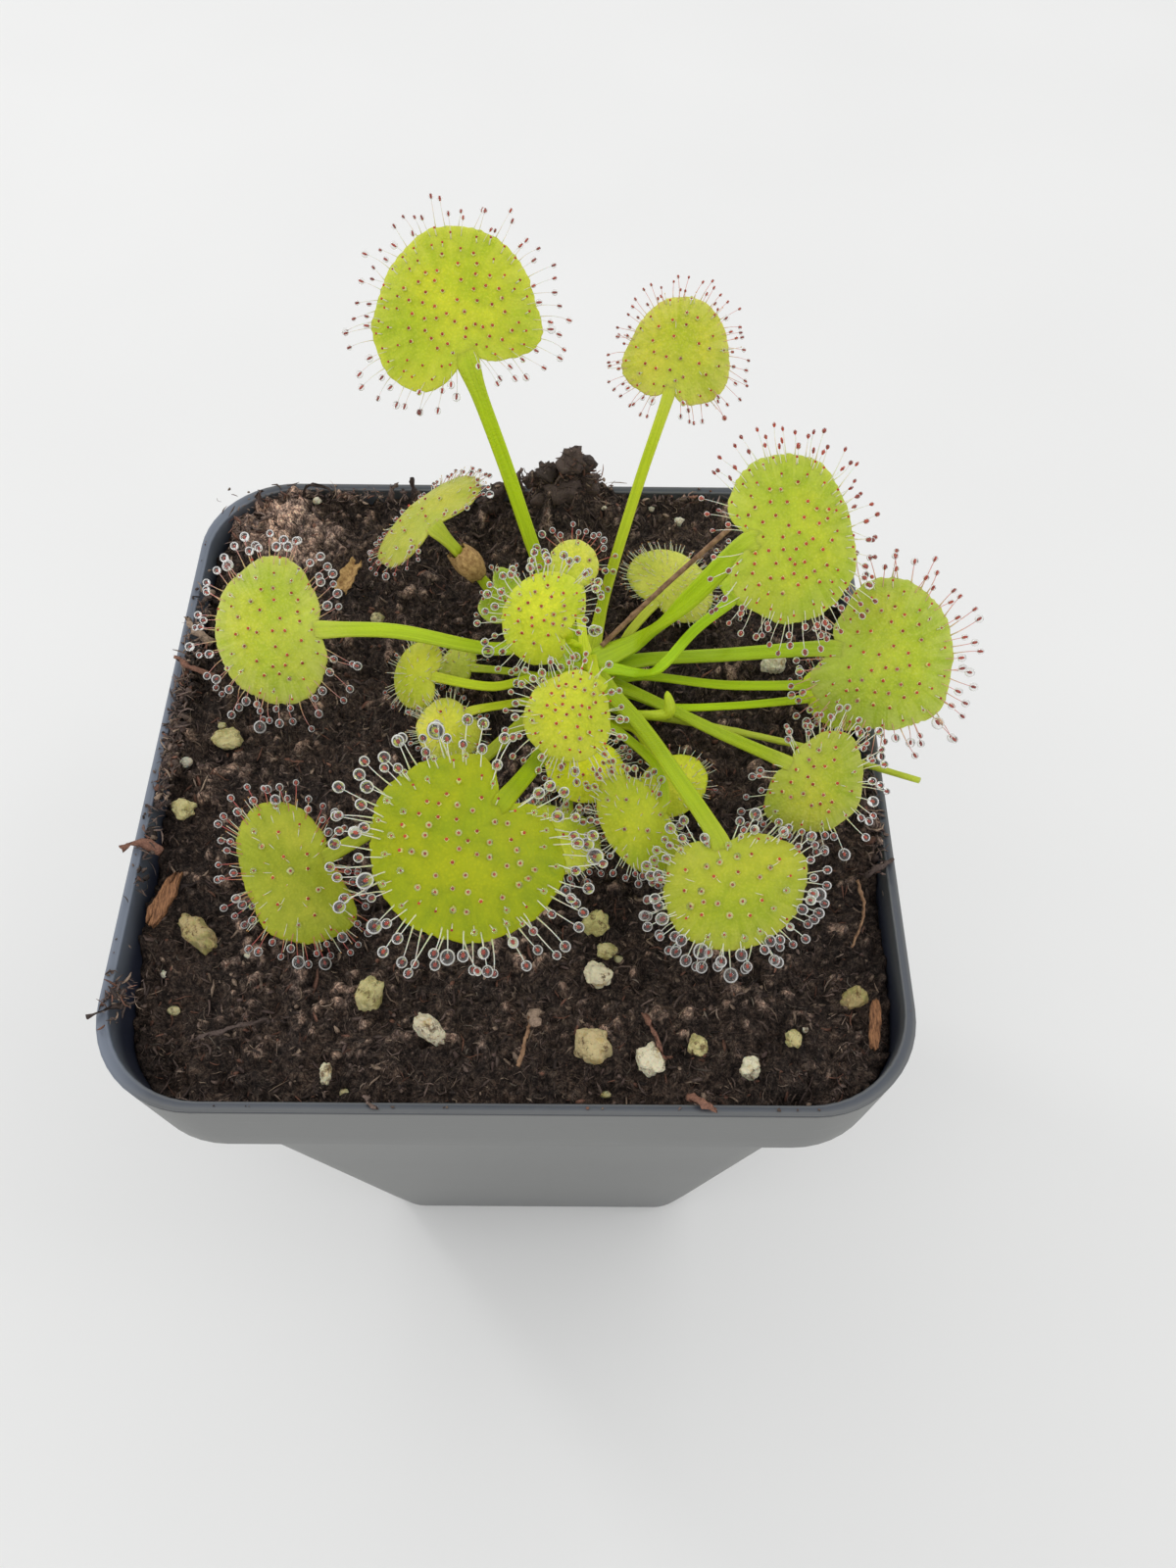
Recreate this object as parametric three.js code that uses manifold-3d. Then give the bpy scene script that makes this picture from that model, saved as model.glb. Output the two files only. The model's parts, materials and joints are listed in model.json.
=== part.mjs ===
// A sundew in a square nursery pot, in millimetres, +Z up. The pot stands on z = 0, centred on the
// origin, with its front towards -Y. Each leaf, with its petiole, is one grown piece.
import * as THREE from 'three';
import { mergeVertices } from 'three/addons/utils/BufferGeometryUtils.js';
import Module from 'manifold-3d';

const wasm = await Module();
wasm.setup();

// ---------------------------------------------------------------- driving dimensions

const GAP = 0.3; // clearance between pieces that touch
const WELD = 1e-4;

const pot = {
  height: 110,
  rimWidth: 80,
  cornerShare: 10.5 / 80, // corner radius as a share of the width, the same at every height
  bandHeight: 14,
  bandFootWidth: 79.4,
  bodyTopWidth: 74, // the body stands back under the band, on a sloping ledge
  baseWidth: 55,
  wall: 1,
  floor: 1.4,
  lipRounding: 0.5,
  holeRadius: 3,
  holeOffset: 16,
};

const soil = {
  level: 107, // height of its surface at the middle
  cells: 18, // grid cells across the pot
  roughness: 0.9,
  edgeRise: 1.2, // the soil climbs a little where it meets the walls
  highest: 122, // above every clump
};

// Clumps of peat that stand above the soil: where, how far they reach and how high.
const clumps = [
  { at: [4.4, 37.5], reach: 5.5, rise: 8.5 },
  { at: [-14, 37], reach: 3, rise: 3 },
  { at: [38, -8], reach: 5, rise: 3 },
  { at: [-37, 6], reach: 13, rise: 2 },
  { at: [-28, 37], reach: 12, rise: 2.4 },
  { at: [22, 37], reach: 15, rise: 2.6 },
  { at: [-34, -34], reach: 10, rise: -2 },
];

const crown = { at: [7.5, 10.8], foot: 102, top: 112.6, radius: 3.2, shoulder: 0.9, topSeat: 1.2 };

const petiole = {
  sides: 6,
  steps: 8,
  clear: 0.4, // between the crown and the petiole's start
  reachOut: 2.6, // how far it runs straight out from the crown
  lift: 0.7, // how far it climbs on that way, as a share of its width
  under: 0.25, // how far it runs under the blade, as a share of its width
  intoBlade: 0.4, // how far it goes on from the notch towards the blade's middle
};

// The kidney outline, in angles from the tip: its notch, its two lobes, and the flat stretch that
// joins the petiole.
const blade = {
  around: 18,
  bands: 6,
  thickness: 0.8,
  notchSpread: 0.34,
  lobeAt: 2.3,
  lobeSpread: 0.55,
  joinSpread: 0.5,
};

// ---------------------------------------------------------------- colours and finishes

const finish = {
  slate: { color: 0x5d6a73, roughness: 0.55 },
  peat: { color: 0x2c2019, roughness: 0.95 },
  lime: { color: 0x9cba22, roughness: 0.45 },
  young: { color: 0xb4c736, roughness: 0.45 },
  olive: { color: 0x8c9f36, roughness: 0.55 },
  stem: { color: 0x86902f, roughness: 0.7 },
  brown: { color: 0x7d5a3c, roughness: 0.8 },
  tan: { color: 0xb08a4a, roughness: 0.8 },
  perlite: { color: 0xd9d2c0, roughness: 0.9 },
  mossyPerlite: { color: 0xa5a36a, roughness: 0.9 },
  bark: { color: 0x6b4230, roughness: 0.9 },
};

function material(name) {
  return new THREE.MeshStandardMaterial({ metalness: 0, ...finish[name] });
}

// ---------------------------------------------------------------- the plant's leaves

// centre: middle of the blade. notch: where the petiole meets it. facing: roughly the way the upper
// side looks. across and along: the blade's size over its lobes and from lobes to tip. droop: how
// far the margin hangs below the middle. lobes: how far both lobes stand out, as a share of the
// blade's half size. skew: how much more of that the right one has. seat: the direction in degrees
// and the height at which the petiole leaves the crown. via: points that the petiole passes.
// stalk: the petiole's width.
const leaves = [
  { name: 'leaf_back_tall', centre: [-6.7, 37.2, 138], notch: [-5.3, 32.4, 135],
    facing: [0.1, -0.8, 0.6], across: 18, along: 18, droop: 1.2, skew: -0.12, lobes: 0.05,
    seat: [112, 110.2], via: [[1.6, 24.3, 114], [-1.9, 29.4, 124]], stalk: 1.9 },
  { name: 'leaf_back_right', centre: [17.6, 41, 130], notch: [16.8, 37.8, 127.4],
    facing: [-0.1, -0.75, 0.65], across: 12.6, along: 12.8, droop: 0.9, skew: 0.1, lobes: 0.05,
    seat: [78, 110], via: [[9.6, 20, 112.5], [13.5, 30, 121]], stalk: 1.5 },
  { name: 'leaf_upper_right', centre: [27.8, 11.3, 132.4], notch: [23.4, 11.4, 131.4],
    facing: [-0.2, -0.65, 0.75], across: 17, along: 13.4, droop: 1.6, skew: 0.06, lobes: 0.16,
    seat: [20, 112.2], via: [[18, 11.2, 122]], stalk: 2.2 },
  { name: 'leaf_right', centre: [38.4, 3.7, 122.4], notch: [33, 5.6, 121.7],
    facing: [-0.2, -0.55, 0.8], across: 15.8, along: 14.6, droop: 1.6, skew: 0.1, lobes: 0.1,
    seat: [8, 110.3], via: [[22.9, 10, 114.4]], stalk: 1.9 },
  { name: 'leaf_lower_right', centre: [30.7, -8.4, 118], notch: [28, -6.2, 118],
    facing: [-0.2, -0.5, 0.85], across: 12, along: 10, droop: 1.1, skew: 0, lobes: 0.12,
    seat: [-32, 110.1], via: [[22.6, 0.2, 113]], stalk: 1.6 },
  { name: 'leaf_front_right', centre: [21.2, -20.3, 118], notch: [20.7, -15.9, 118.6],
    facing: [-0.05, -0.25, 1], across: 16.4, along: 13, droop: 2.2, skew: 0, lobes: 0.12,
    seat: [-60, 112], via: [[13.2, 1.4, 113.5], [16.9, -8.3, 118]], stalk: 2 },
  { name: 'leaf_front', centre: [-3.5, -19.4, 124], notch: [0.4, -14.2, 125],
    facing: [0.1, -0.45, 0.9], across: 19.4, along: 17.6, droop: 2, skew: 0, lobes: 0.06,
    seat: [-121, 112], via: [[3.2, -3.7, 116.5]], stalk: 2 },
  { name: 'leaf_front_left', centre: [-21.9, -16.5, 112.5], notch: [-17.7, -13.9, 112.6],
    facing: [0.15, -0.4, 0.9], across: 14.8, along: 11.8, droop: 1.4, skew: 0.08, lobes: 0.1,
    seat: [-133, 110], via: [[-5.9, -4.4, 111.6], [-13.8, -11.4, 113]], stalk: 1.7 },
  { name: 'leaf_left', centre: [-26.5, 9.4, 119], notch: [-21.3, 9.8, 118.6],
    facing: [0.15, -0.5, 0.85], across: 16.4, along: 12.4, droop: 1.8, skew: 0, lobes: 0.12,
    seat: [168, 112.1], via: [[-3.5, 11.8, 112.8], [-13.9, 10.8, 117.2]], stalk: 1.8 },
  { name: 'leaf_back_left', centre: [-11.6, 27, 118.4], notch: [-9.8, 23.4, 120],
    facing: [-0.5, 0.13, 0.85], across: 14.6, along: 9.6, droop: 1, skew: 0, lobes: 0.1,
    seat: [133, 108.4], via: [[-3.4, 21.2, 111], [-6.6, 22.2, 116]], stalk: 1.7 },
  { name: 'leaf_centre_upper', centre: [2.8, 10, 121], notch: [6, 8.3, 119.4],
    facing: [-0.15, -0.5, 0.8], across: 10.4, along: 10, droop: 1, skew: 0.05, lobes: 0.1,
    seat: [150, 113], via: [[5.6, 10.2, 116.2]], stalk: 1.5 },
  { name: 'leaf_centre', centre: [5.8, -3.9, 123], notch: [8.4, -0.9, 123],
    facing: [0, -0.5, 0.85], across: 9, along: 9.8, droop: 1.2, skew: 0, lobes: 0.06,
    seat: [-70, 113], via: [[8.4, 4.2, 118.2]], stalk: 1.5 },
  { name: 'leaf_centre_back', centre: [5.9, 21.4, 116.2], notch: [6.6, 19.4, 114.6],
    facing: [0, -0.6, 0.8], across: 5.8, along: 5.8, droop: 0.5, skew: 0, lobes: 0.05,
    seat: [97, 112.3], via: [[6.9, 17, 113.6]], stalk: 1.2 },
  { name: 'leaf_left_small', centre: [-11.8, 9.2, 111.4], notch: [-9.8, 8.7, 111.6],
    facing: [-0.3, -0.4, 0.9], across: 7.8, along: 5.6, droop: 0.7, skew: 0, lobes: 0.12,
    seat: [-166, 110.2], via: [[-3, 7.4, 111.6]], stalk: 1.3 },
  { name: 'leaf_left_low', centre: [-7.9, 3, 109.4], notch: [-5.8, 5.2, 109.6],
    facing: [0.1, -0.4, 0.9], across: 7.2, along: 7, droop: 0.8, skew: 0, lobes: 0.1,
    seat: [-150, 108.3], via: [[-1, 6.6, 109.4]], stalk: 1.2 },
  { name: 'leaf_back_low', centre: [17.8, 23.6, 110.8], notch: [15.6, 20.6, 110.3],
    facing: [0, -0.35, 0.95], across: 11, along: 8.4, droop: 0.8, skew: 0, lobes: 0.08,
    seat: [48, 108.5], via: [[12.6, 16.6, 109.9]], stalk: 1.3 },
  { name: 'leaf_front_centre', centre: [12.9, -11.4, 114.4], notch: [15.4, -9.8, 114.4],
    facing: [0, -0.4, 0.9], across: 11.4, along: 7, droop: 0.9, skew: -0.1, lobes: 0.1,
    seat: [-85, 110.2], via: [[11.6, 1, 111.6], [15.2, -4.6, 113.6]], stalk: 1.3 },
  { name: 'leaf_old_front', centre: [17, -4, 109.4], notch: [15.2, -1.4, 109.8],
    facing: [0, -0.3, 0.95], across: 8.4, along: 6.4, droop: 0.6, skew: 0, lobes: 0.08,
    seat: [-74, 108.3], via: [[13, 3, 109.8]], stalk: 1.2 },
  { name: 'leaf_under_centre', centre: [7.5, -4.4, 113.6], notch: [8.2, -1.4, 114],
    facing: [0.1, -0.4, 0.9], across: 8.6, along: 7.4, droop: 0.8, skew: 0, lobes: 0.08,
    seat: [-91, 112.1], via: [[8.2, 3.6, 112.8]], stalk: 1.3 },
  { name: 'leaf_under_front', centre: [4.8, -11.6, 111.6], notch: [5.6, -8.2, 111.2],
    facing: [0.1, -0.4, 0.9], across: 9, along: 8, droop: 0.8, skew: 0, lobes: 0.08,
    seat: [-104, 108.4], via: [[5.4, -1, 109.2]], stalk: 1.2 },
  { name: 'leaf_behind_upper', centre: [26, 17.2, 119.6], notch: [23.4, 14.4, 118.4],
    facing: [-0.1, -0.45, 0.9], across: 8, along: 7, droop: 0.8, skew: 0, lobes: 0.08,
    seat: [-20, 112.1], via: [[15.4, 7.4, 115.2], [19.4, 11, 117.6]], stalk: 1.4 },
  { name: 'leaf_left_hidden', centre: [-7.6, 12.4, 108.9], notch: [-5.8, 11.8, 109],
    facing: [0, -0.3, 0.95], across: 5, along: 4.4, droop: 0.4, skew: 0, lobes: 0.08,
    seat: [178, 108.4], via: [[-1, 11.2, 109.2]], stalk: 1.1 },
  { name: 'leaf_under_right_a', centre: [36.2, 4.8, 115.6], notch: [33, 5.2, 115.4],
    facing: [-0.1, -0.35, 0.9], across: 9, along: 7.8, droop: 0.8, skew: 0, lobes: 0.08,
    seat: [2, 108.4], via: [[23.1, 7.6, 112]], stalk: 1.3 },
  { name: 'leaf_under_right_b', centre: [35, 7.4, 110.8], notch: [32.4, 6.6, 110.8],
    facing: [-0.1, -0.3, 0.9], across: 6.6, along: 5.6, droop: 0.6, skew: 0, lobes: 0.08,
    seat: [-24, 108.3], via: [[16.4, 6.4, 109.4], [24, 6, 110.2]], stalk: 1.1 },
  { name: 'leaf_young_pair', centre: [-2.3, 17.9, 114.5], notch: [-0.6, 16.5, 114],
    facing: [-0.3, -0.2, 0.95], across: 6.4, along: 4.4, droop: 0.3, skew: 0, lobes: 0.3,
    seat: [150, 110.6], via: [], stalk: 1.2 },
];

const oldLeaves = ['leaf_front_left', 'leaf_old_front', 'leaf_back_low', 'leaf_left_hidden'];
const youngLeaves = ['leaf_centre', 'leaf_centre_upper', 'leaf_centre_back', 'leaf_under_centre'];

// Stalks without a blade. seat and points as for the leaves.
const stalks = [
  { name: 'dead_stalk', seat: [42, 110.8], points: [[15.8, 18, 116.4], [23.5, 22.4, 121.5]],
    width: 0.8, finish: 'brown' },
  { name: 'bare_stalk', seat: [-46, 108.2],
    points: [[18.6, 4.4, 109.4], [30.5, -0.6, 112.4], [41.5, -7.9, 117.4]], width: 0.9, finish: 'olive' },
  { name: 'young_hook', seat: [-60, 109.9],
    points: [[14.6, 3.3, 112.2], [16.6, 3.1, 113.2], [16.3, 4.6, 115]], width: 1.3, finish: 'young' },
];

// The dry sheath of a dead leaf: whose petiole it is around, how far along, and its size.
const collar = { around: 'leaf_back_left', share: 0.72, length: 2.6, thickness: 0.3, clear: 0.4, arc: 270 };

// Perlite and grit in the soil surface: where, the width of the grain, and its finish.
const grains = [
  [-32.5, 2, 3.3, 'mossyPerlite'], [-36, -7, 2.3, 'mossyPerlite'], [-32.4, -21, 4.4, 'mossyPerlite'],
  [-14, -27.4, 3.5, 'mossyPerlite'], [-7.9, -31.4, 3.8, 'perlite'], [-17.6, -35.4, 2.1, 'perlite'],
  [8.6, -19.4, 3, 'mossyPerlite'], [9.8, -22.4, 2, 'mossyPerlite'], [9, -25.2, 2.8, 'perlite'],
  [8.4, -32.9, 4, 'perlite'], [13.9, -34.2, 2.9, 'perlite'], [18.8, -32.6, 2.4, 'mossyPerlite'],
  [23.8, -34.8, 2.7, 'perlite'], [28.2, -31.9, 2, 'mossyPerlite'], [34.6, -27.7, 3, 'mossyPerlite'],
  [29.5, 13.9, 3.3, 'perlite'],
];
const grainSunk = 0.35; // share of a grain's height that is under the soil surface

// Chips, twigs and scraps on the soil: the middle, length, width, thickness and direction in degrees.
const chips = [
  { name: 'bark_left', at: [-35.4, -16.6], size: [6, 2.4, 1.1], turn: 66, finish: 'bark' },
  { name: 'bark_right', at: [35.4, -31], size: [4.2, 1.8, 1], turn: 74, finish: 'bark' },
  { name: 'leaf_scrap', at: [-21.6, 25.4], size: [4.6, 2, 0.6], turn: 20, finish: 'tan' },
];
const twigs = [
  { name: 'twig_front', from: [1.6, -34.6], to: [2.2, -29.8], width: 0.7 },
  { name: 'twig_right', from: [36.2, -15.2], to: [34.8, -22.4], width: 0.8 },
];
const lyingClear = 0.35; // how far a chip or twig lies above the soil under it

// ---------------------------------------------------------------- solids and meshes

function toSolid(geometry) {
  const bare = geometry.clone();
  bare.deleteAttribute('normal');
  bare.deleteAttribute('uv');
  const welded = mergeVertices(bare, WELD);
  return new wasm.Manifold(new wasm.Mesh({
    numProp: 3,
    vertProperties: Float32Array.from(welded.attributes.position.array),
    triVerts: Uint32Array.from(welded.index.array),
  }));
}

function toGeometry(solid) {
  const { vertProperties, triVerts } = solid.getMesh();
  const geometry = new THREE.BufferGeometry();
  geometry.setAttribute('position', new THREE.BufferAttribute(vertProperties, 3));
  geometry.setIndex(new THREE.BufferAttribute(triVerts, 1));
  geometry.computeVertexNormals();
  return geometry;
}

// Moves every vertex of a geometry to where place(x, y, z) says.
function reshape(geometry, place) {
  const position = geometry.attributes.position;
  for (let i = 0; i < position.count; i++) {
    const [x, y, z] = place(position.getX(i), position.getY(i), position.getZ(i));
    position.setXYZ(i, x, y, z);
  }
  geometry.computeVertexNormals();
  return geometry;
}

const object = new THREE.Group();

function add(name, geometry, finishName) {
  const mesh = new THREE.Mesh(geometry, material(finishName));
  mesh.name = name;
  object.add(mesh);
}

// ---------------------------------------------------------------- pot

// A solid of rounded-square sections, one for each [height, width].
function taperedSquare(levels) {
  const half = 0.5;
  const corner = pot.cornerShare;
  const straight = half - corner;
  const outline = new THREE.Shape();
  for (const [quarter, [x, y]] of [[1, 1], [-1, 1], [-1, -1], [1, -1]].entries()) {
    const from = quarter * Math.PI / 2;
    outline.absarc(x * straight, y * straight, corner, from, from + Math.PI / 2, false);
  }
  const steps = levels.length - 1;
  const prism = new THREE.ExtrudeGeometry(outline,
    { depth: steps, steps, bevelEnabled: false, curveSegments: 5 });
  return reshape(prism, (x, y, z) => {
    const [height, width] = levels[Math.round(z)];
    return [x * width, y * width, height];
  });
}

const bandFoot = pot.height - pot.bandHeight;
const step = (pot.bandFootWidth - pot.bodyTopWidth) / 2;
const ledgeMitre = pot.wall * Math.tan(Math.PI / 8); // keeps the wall as thick along the 45 degree ledge

// The inner width of the pot at each height, less a clearance.
function innerLevels(floor, top, clearance) {
  const inside = (width) => width - 2 * (pot.wall + clearance);
  return [
    [floor, inside(pot.baseWidth)],
    [bandFoot - step + ledgeMitre, inside(pot.bodyTopWidth)],
    [bandFoot + ledgeMitre, inside(pot.bandFootWidth)],
    [top, inside(pot.rimWidth)],
  ];
}

function potGeometry() {
  let solid = toSolid(taperedSquare([
    [0, pot.baseWidth],
    [bandFoot - step, pot.bodyTopWidth],
    [bandFoot, pot.bandFootWidth],
    [pot.height - pot.lipRounding, pot.rimWidth],
    [pot.height, pot.rimWidth - 2 * pot.lipRounding],
  ]));
  solid = solid.subtract(toSolid(taperedSquare(innerLevels(pot.floor, pot.height + 1, 0))));
  for (const x of [-pot.holeOffset, pot.holeOffset]) {
    for (const y of [-pot.holeOffset, pot.holeOffset]) {
      const drill = new THREE.CylinderGeometry(pot.holeRadius, pot.holeRadius, 4 * pot.floor, 16);
      drill.rotateX(Math.PI / 2);
      drill.translate(x, y, 0);
      solid = solid.subtract(toSolid(drill));
    }
  }
  return toGeometry(solid);
}

// ---------------------------------------------------------------- soil and what lies in it

// Height of the soil surface: slow waves, a rise at the walls, and the clumps.
function soilHeight(x, y) {
  const waves = Math.sin(0.31 * x + 1.1) * Math.cos(0.27 * y - 0.4)
    + 0.6 * Math.sin(0.63 * x - 0.58 * y + 2) + 0.4 * Math.cos(0.9 * y + 0.5 * x);
  const edge = Math.max(Math.abs(x), Math.abs(y)) / (pot.rimWidth / 2);
  let height = soil.level + soil.roughness * 0.5 * waves + soil.edgeRise * edge ** 6;
  for (const clump of clumps) {
    const distance = Math.hypot(x - clump.at[0], y - clump.at[1]);
    height += clump.rise * Math.exp(-((distance / clump.reach) ** 2));
  }
  return height;
}

// The space over the soil.
function openAir() {
  const block = new THREE.BoxGeometry(pot.rimWidth, pot.rimWidth, 1, soil.cells, soil.cells, 1);
  return reshape(block, (x, y, z) => [x, y, z > 0 ? soil.highest + 1 : soilHeight(x, y)]);
}

// A grain is a twelve-faced stone whose corners are pushed in and out by its own number.
function grainGeometry([x, y, width], index, extra) {
  const stone = new THREE.DodecahedronGeometry(width / 2 + extra, 0);
  const squash = 0.8;
  const height = soilHeight(x, y) + width * squash * (0.5 - grainSunk);
  return reshape(stone, (px, py, pz) => {
    const uneven = 1 + 0.12 * Math.sin(3.1 * px + 2.3 * index) * Math.cos(2.7 * py - 1.7 * index + pz);
    return [x + px * uneven, y + py * uneven, height + pz * squash * uneven];
  });
}

function crownGeometry(extra) {
  const { foot, top, radius, shoulder } = crown;
  const profile = [[0, foot - extra], [radius + extra, foot - extra], [radius + extra, top - shoulder],
    [radius - shoulder + extra, top + extra], [0, top + extra]];
  const turned = new THREE.LatheGeometry(profile.map(([r, z]) => new THREE.Vector2(r, z)), 14);
  turned.rotateX(Math.PI / 2);
  turned.translate(crown.at[0], crown.at[1], 0);
  return turned;
}

function soilGeometry() {
  const floor = pot.floor + GAP;
  let solid = toSolid(taperedSquare(innerLevels(floor, soil.highest, GAP)));
  solid = solid.subtract(toSolid(openAir()));
  solid = solid.subtract(toSolid(crownGeometry(GAP)));
  grains.forEach((grain, index) => {
    solid = solid.subtract(toSolid(grainGeometry(grain, index, GAP)));
  });
  return toGeometry(solid);
}

// A flat chip with pointed ends and one bowed side, lying on the soil.
function chipGeometry({ at, size, turn }) {
  const [length, width, thickness] = size;
  const outline = new THREE.Shape();
  outline.moveTo(-length / 2, -width * 0.1);
  outline.lineTo(-length * 0.3, -width / 2);
  outline.lineTo(length * 0.35, -width * 0.4);
  outline.lineTo(length / 2, width * 0.05);
  outline.lineTo(length * 0.1, width / 2);
  outline.lineTo(-length * 0.38, width * 0.3);
  const chip = new THREE.ExtrudeGeometry(outline, { depth: thickness, steps: 1, bevelEnabled: false });
  chip.rotateZ(turn * Math.PI / 180);
  chip.translate(at[0], at[1], highestUnder(at, length / 2) + lyingClear);
  return chip;
}

// The highest soil within reach of a point, so that what lies there is clear of it.
function highestUnder([x, y], reach) {
  let highest = soilHeight(x, y);
  for (let turn = 0; turn < 8; turn++) {
    const angle = turn * Math.PI / 4;
    highest = Math.max(highest, soilHeight(x + reach * Math.cos(angle), y + reach * Math.sin(angle)));
  }
  return highest;
}

// A round rod along a curve. A lathe or tube would leave its ends open.
function rod(curve, width, sides, steps) {
  const section = new THREE.Shape();
  for (let side = 0; side < sides; side++) {
    const angle = side * 2 * Math.PI / sides;
    section[side ? 'lineTo' : 'moveTo'](width / 2 * Math.cos(angle), width / 2 * Math.sin(angle));
  }
  return new THREE.ExtrudeGeometry(section, { steps, bevelEnabled: false, extrudePath: curve });
}

function twigGeometry({ from, to, width }) {
  const lift = lyingClear + width / 2;
  const middle = [(from[0] + to[0]) / 2, (from[1] + to[1]) / 2];
  const reach = Math.hypot(to[0] - from[0], to[1] - from[1]) / 2;
  const height = highestUnder(middle, reach) + lift;
  const ends = [from, middle, to].map(([x, y], i) => new THREE.Vector3(x, y, height + (i === 1 ? 0.2 : 0)));
  return rod(new THREE.CatmullRomCurve3(ends), width, 5, 4);
}

// ---------------------------------------------------------------- leaves and stalks

// Where a petiole starts. One seated on the crown's side runs straight out for a little way, and
// one seated on its top, a young leaf's, straight up.
function leaveCrown([degrees, height], width) {
  const angle = degrees * Math.PI / 180;
  const at = (distance, z) => new THREE.Vector3(
    crown.at[0] + distance * Math.cos(angle), crown.at[1] + distance * Math.sin(angle), z);
  if (height > crown.top) {
    return [at(crown.topSeat, height), at(crown.topSeat, height + petiole.reachOut / 2)];
  }
  const radius = crown.radius + petiole.clear;
  return [at(radius, height), at(radius + petiole.reachOut, height + petiole.lift * width / 2)];
}

// The blade's own axes: right, towards the tip, and out of the upper side.
function bladeAxes({ centre, notch, facing }) {
  const tip = new THREE.Vector3(...centre).sub(new THREE.Vector3(...notch)).normalize();
  const up = new THREE.Vector3(...facing);
  up.addScaledVector(tip, -up.dot(tip)).normalize();
  const right = new THREE.Vector3().crossVectors(tip, up);
  return { right, tip, up };
}

// How far out the margin lies at an angle from the tip, as a share of the blade's half size.
function margin(leaf, angle, notchShare) {
  const toNotch = (Math.PI - Math.abs(angle)) / blade.notchSpread;
  const toLobe = (Math.abs(angle) - blade.lobeAt) / blade.lobeSpread;
  const lobe = (leaf.lobes + leaf.skew * Math.sin(angle)) * Math.exp(-(toLobe ** 2));
  return (1 + lobe) * (1 - (1 - notchShare) * Math.exp(-(toNotch ** 2)));
}

// A flattened ball whose rim is drawn out to the kidney outline, its margin drooping on each side
// of the petiole.
function bladeGeometry(leaf) {
  const { right, tip, up } = bladeAxes(leaf);
  const centre = new THREE.Vector3(...leaf.centre);
  const notchShare = centre.distanceTo(new THREE.Vector3(...leaf.notch)) / (leaf.along / 2);
  const ball = new THREE.SphereGeometry(1, blade.around, blade.bands);
  return reshape(ball, (x, y, z) => {
    const out = Math.hypot(x, z);
    const angle = Math.atan2(-x, z);
    const share = out * margin(leaf, angle, notchShare);
    const nearNotch = Math.exp(-(((Math.PI - Math.abs(angle)) / blade.joinSpread) ** 2));
    const height = y * blade.thickness / 2 - leaf.droop * out * out * (1 - nearNotch);
    const point = centre.clone()
      .addScaledVector(right, share * Math.sin(angle) * leaf.across / 2)
      .addScaledVector(tip, share * Math.cos(angle) * leaf.along / 2)
      .addScaledVector(up, height);
    return point.toArray();
  });
}

function petiolePath(leaf) {
  const { up } = bladeAxes(leaf);
  const centre = new THREE.Vector3(...leaf.centre);
  const notch = new THREE.Vector3(...leaf.notch);
  const under = leaf.stalk * petiole.under;
  return new THREE.CatmullRomCurve3([
    ...leaveCrown(leaf.seat, leaf.stalk),
    ...leaf.via.map((point) => new THREE.Vector3(...point)),
    notch.clone().addScaledVector(up, -under),
    notch.clone().lerp(centre, petiole.intoBlade).addScaledVector(up, -under),
  ]);
}

function leafGeometry(leaf) {
  const stem = rod(petiolePath(leaf), leaf.stalk, petiole.sides, petiole.steps);
  return toGeometry(toSolid(bladeGeometry(leaf)).add(toSolid(stem)));
}

// The dead leaf's sheath is open on one side.
function collarGeometry() {
  const leaf = leaves.find(({ name }) => name === collar.around);
  const inner = leaf.stalk / 2 + collar.clear;
  const outer = inner + collar.thickness;
  const end = collar.arc * Math.PI / 180;
  const section = new THREE.Shape();
  section.absarc(0, 0, outer, 0, end, false);
  section.absarc(0, 0, inner, end, 0, true);
  const sheath = new THREE.ExtrudeGeometry(section, { depth: collar.length, bevelEnabled: false });
  sheath.translate(0, 0, -collar.length / 2);
  const path = petiolePath(leaf);
  const along = path.getTangentAt(collar.share);
  const turn = new THREE.Quaternion().setFromUnitVectors(new THREE.Vector3(0, 0, 1), along);
  sheath.applyQuaternion(turn);
  sheath.translate(...path.getPointAt(collar.share).toArray());
  return sheath;
}

function stalkGeometry({ points, seat, width }) {
  const path = [...leaveCrown(seat, width), ...points.map((point) => new THREE.Vector3(...point))];
  const steps = petiole.steps + 2;
  return toGeometry(toSolid(rod(new THREE.CatmullRomCurve3(path), width, petiole.sides, steps)));
}

function leafFinish(name) {
  if (oldLeaves.includes(name)) return 'olive';
  return youngLeaves.includes(name) ? 'young' : 'lime';
}

// ---------------------------------------------------------------- the whole object

add('pot', potGeometry(), 'slate');
add('soil', soilGeometry(), 'peat');
add('crown', crownGeometry(0), 'stem');
for (const leaf of leaves) add(leaf.name, leafGeometry(leaf), leafFinish(leaf.name));
for (const stalk of stalks) add(stalk.name, stalkGeometry(stalk), stalk.finish);
add('dead_collar', collarGeometry(), 'tan');
grains.forEach((grain, index) => {
  add(`grain_${String(index + 1).padStart(2, '0')}`, grainGeometry(grain, index, 0), grain[3]);
});
for (const chip of chips) add(chip.name, chipGeometry(chip), chip.finish);
for (const twig of twigs) add(twig.name, twigGeometry(twig), 'brown');

export default object;
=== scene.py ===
"""A sundew in its square nursery pot: the looks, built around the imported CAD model.

Lengths here are millimetres in the CAD's frame, +Z up and -Y towards the front. They become metres
where a mesh is made. Every random draw comes from a generator with a fixed seed.
"""

import json
import math
import zlib
from collections import namedtuple

import bmesh
import bpy
import numpy as np
from mathutils import Matrix, Vector, noise


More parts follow.
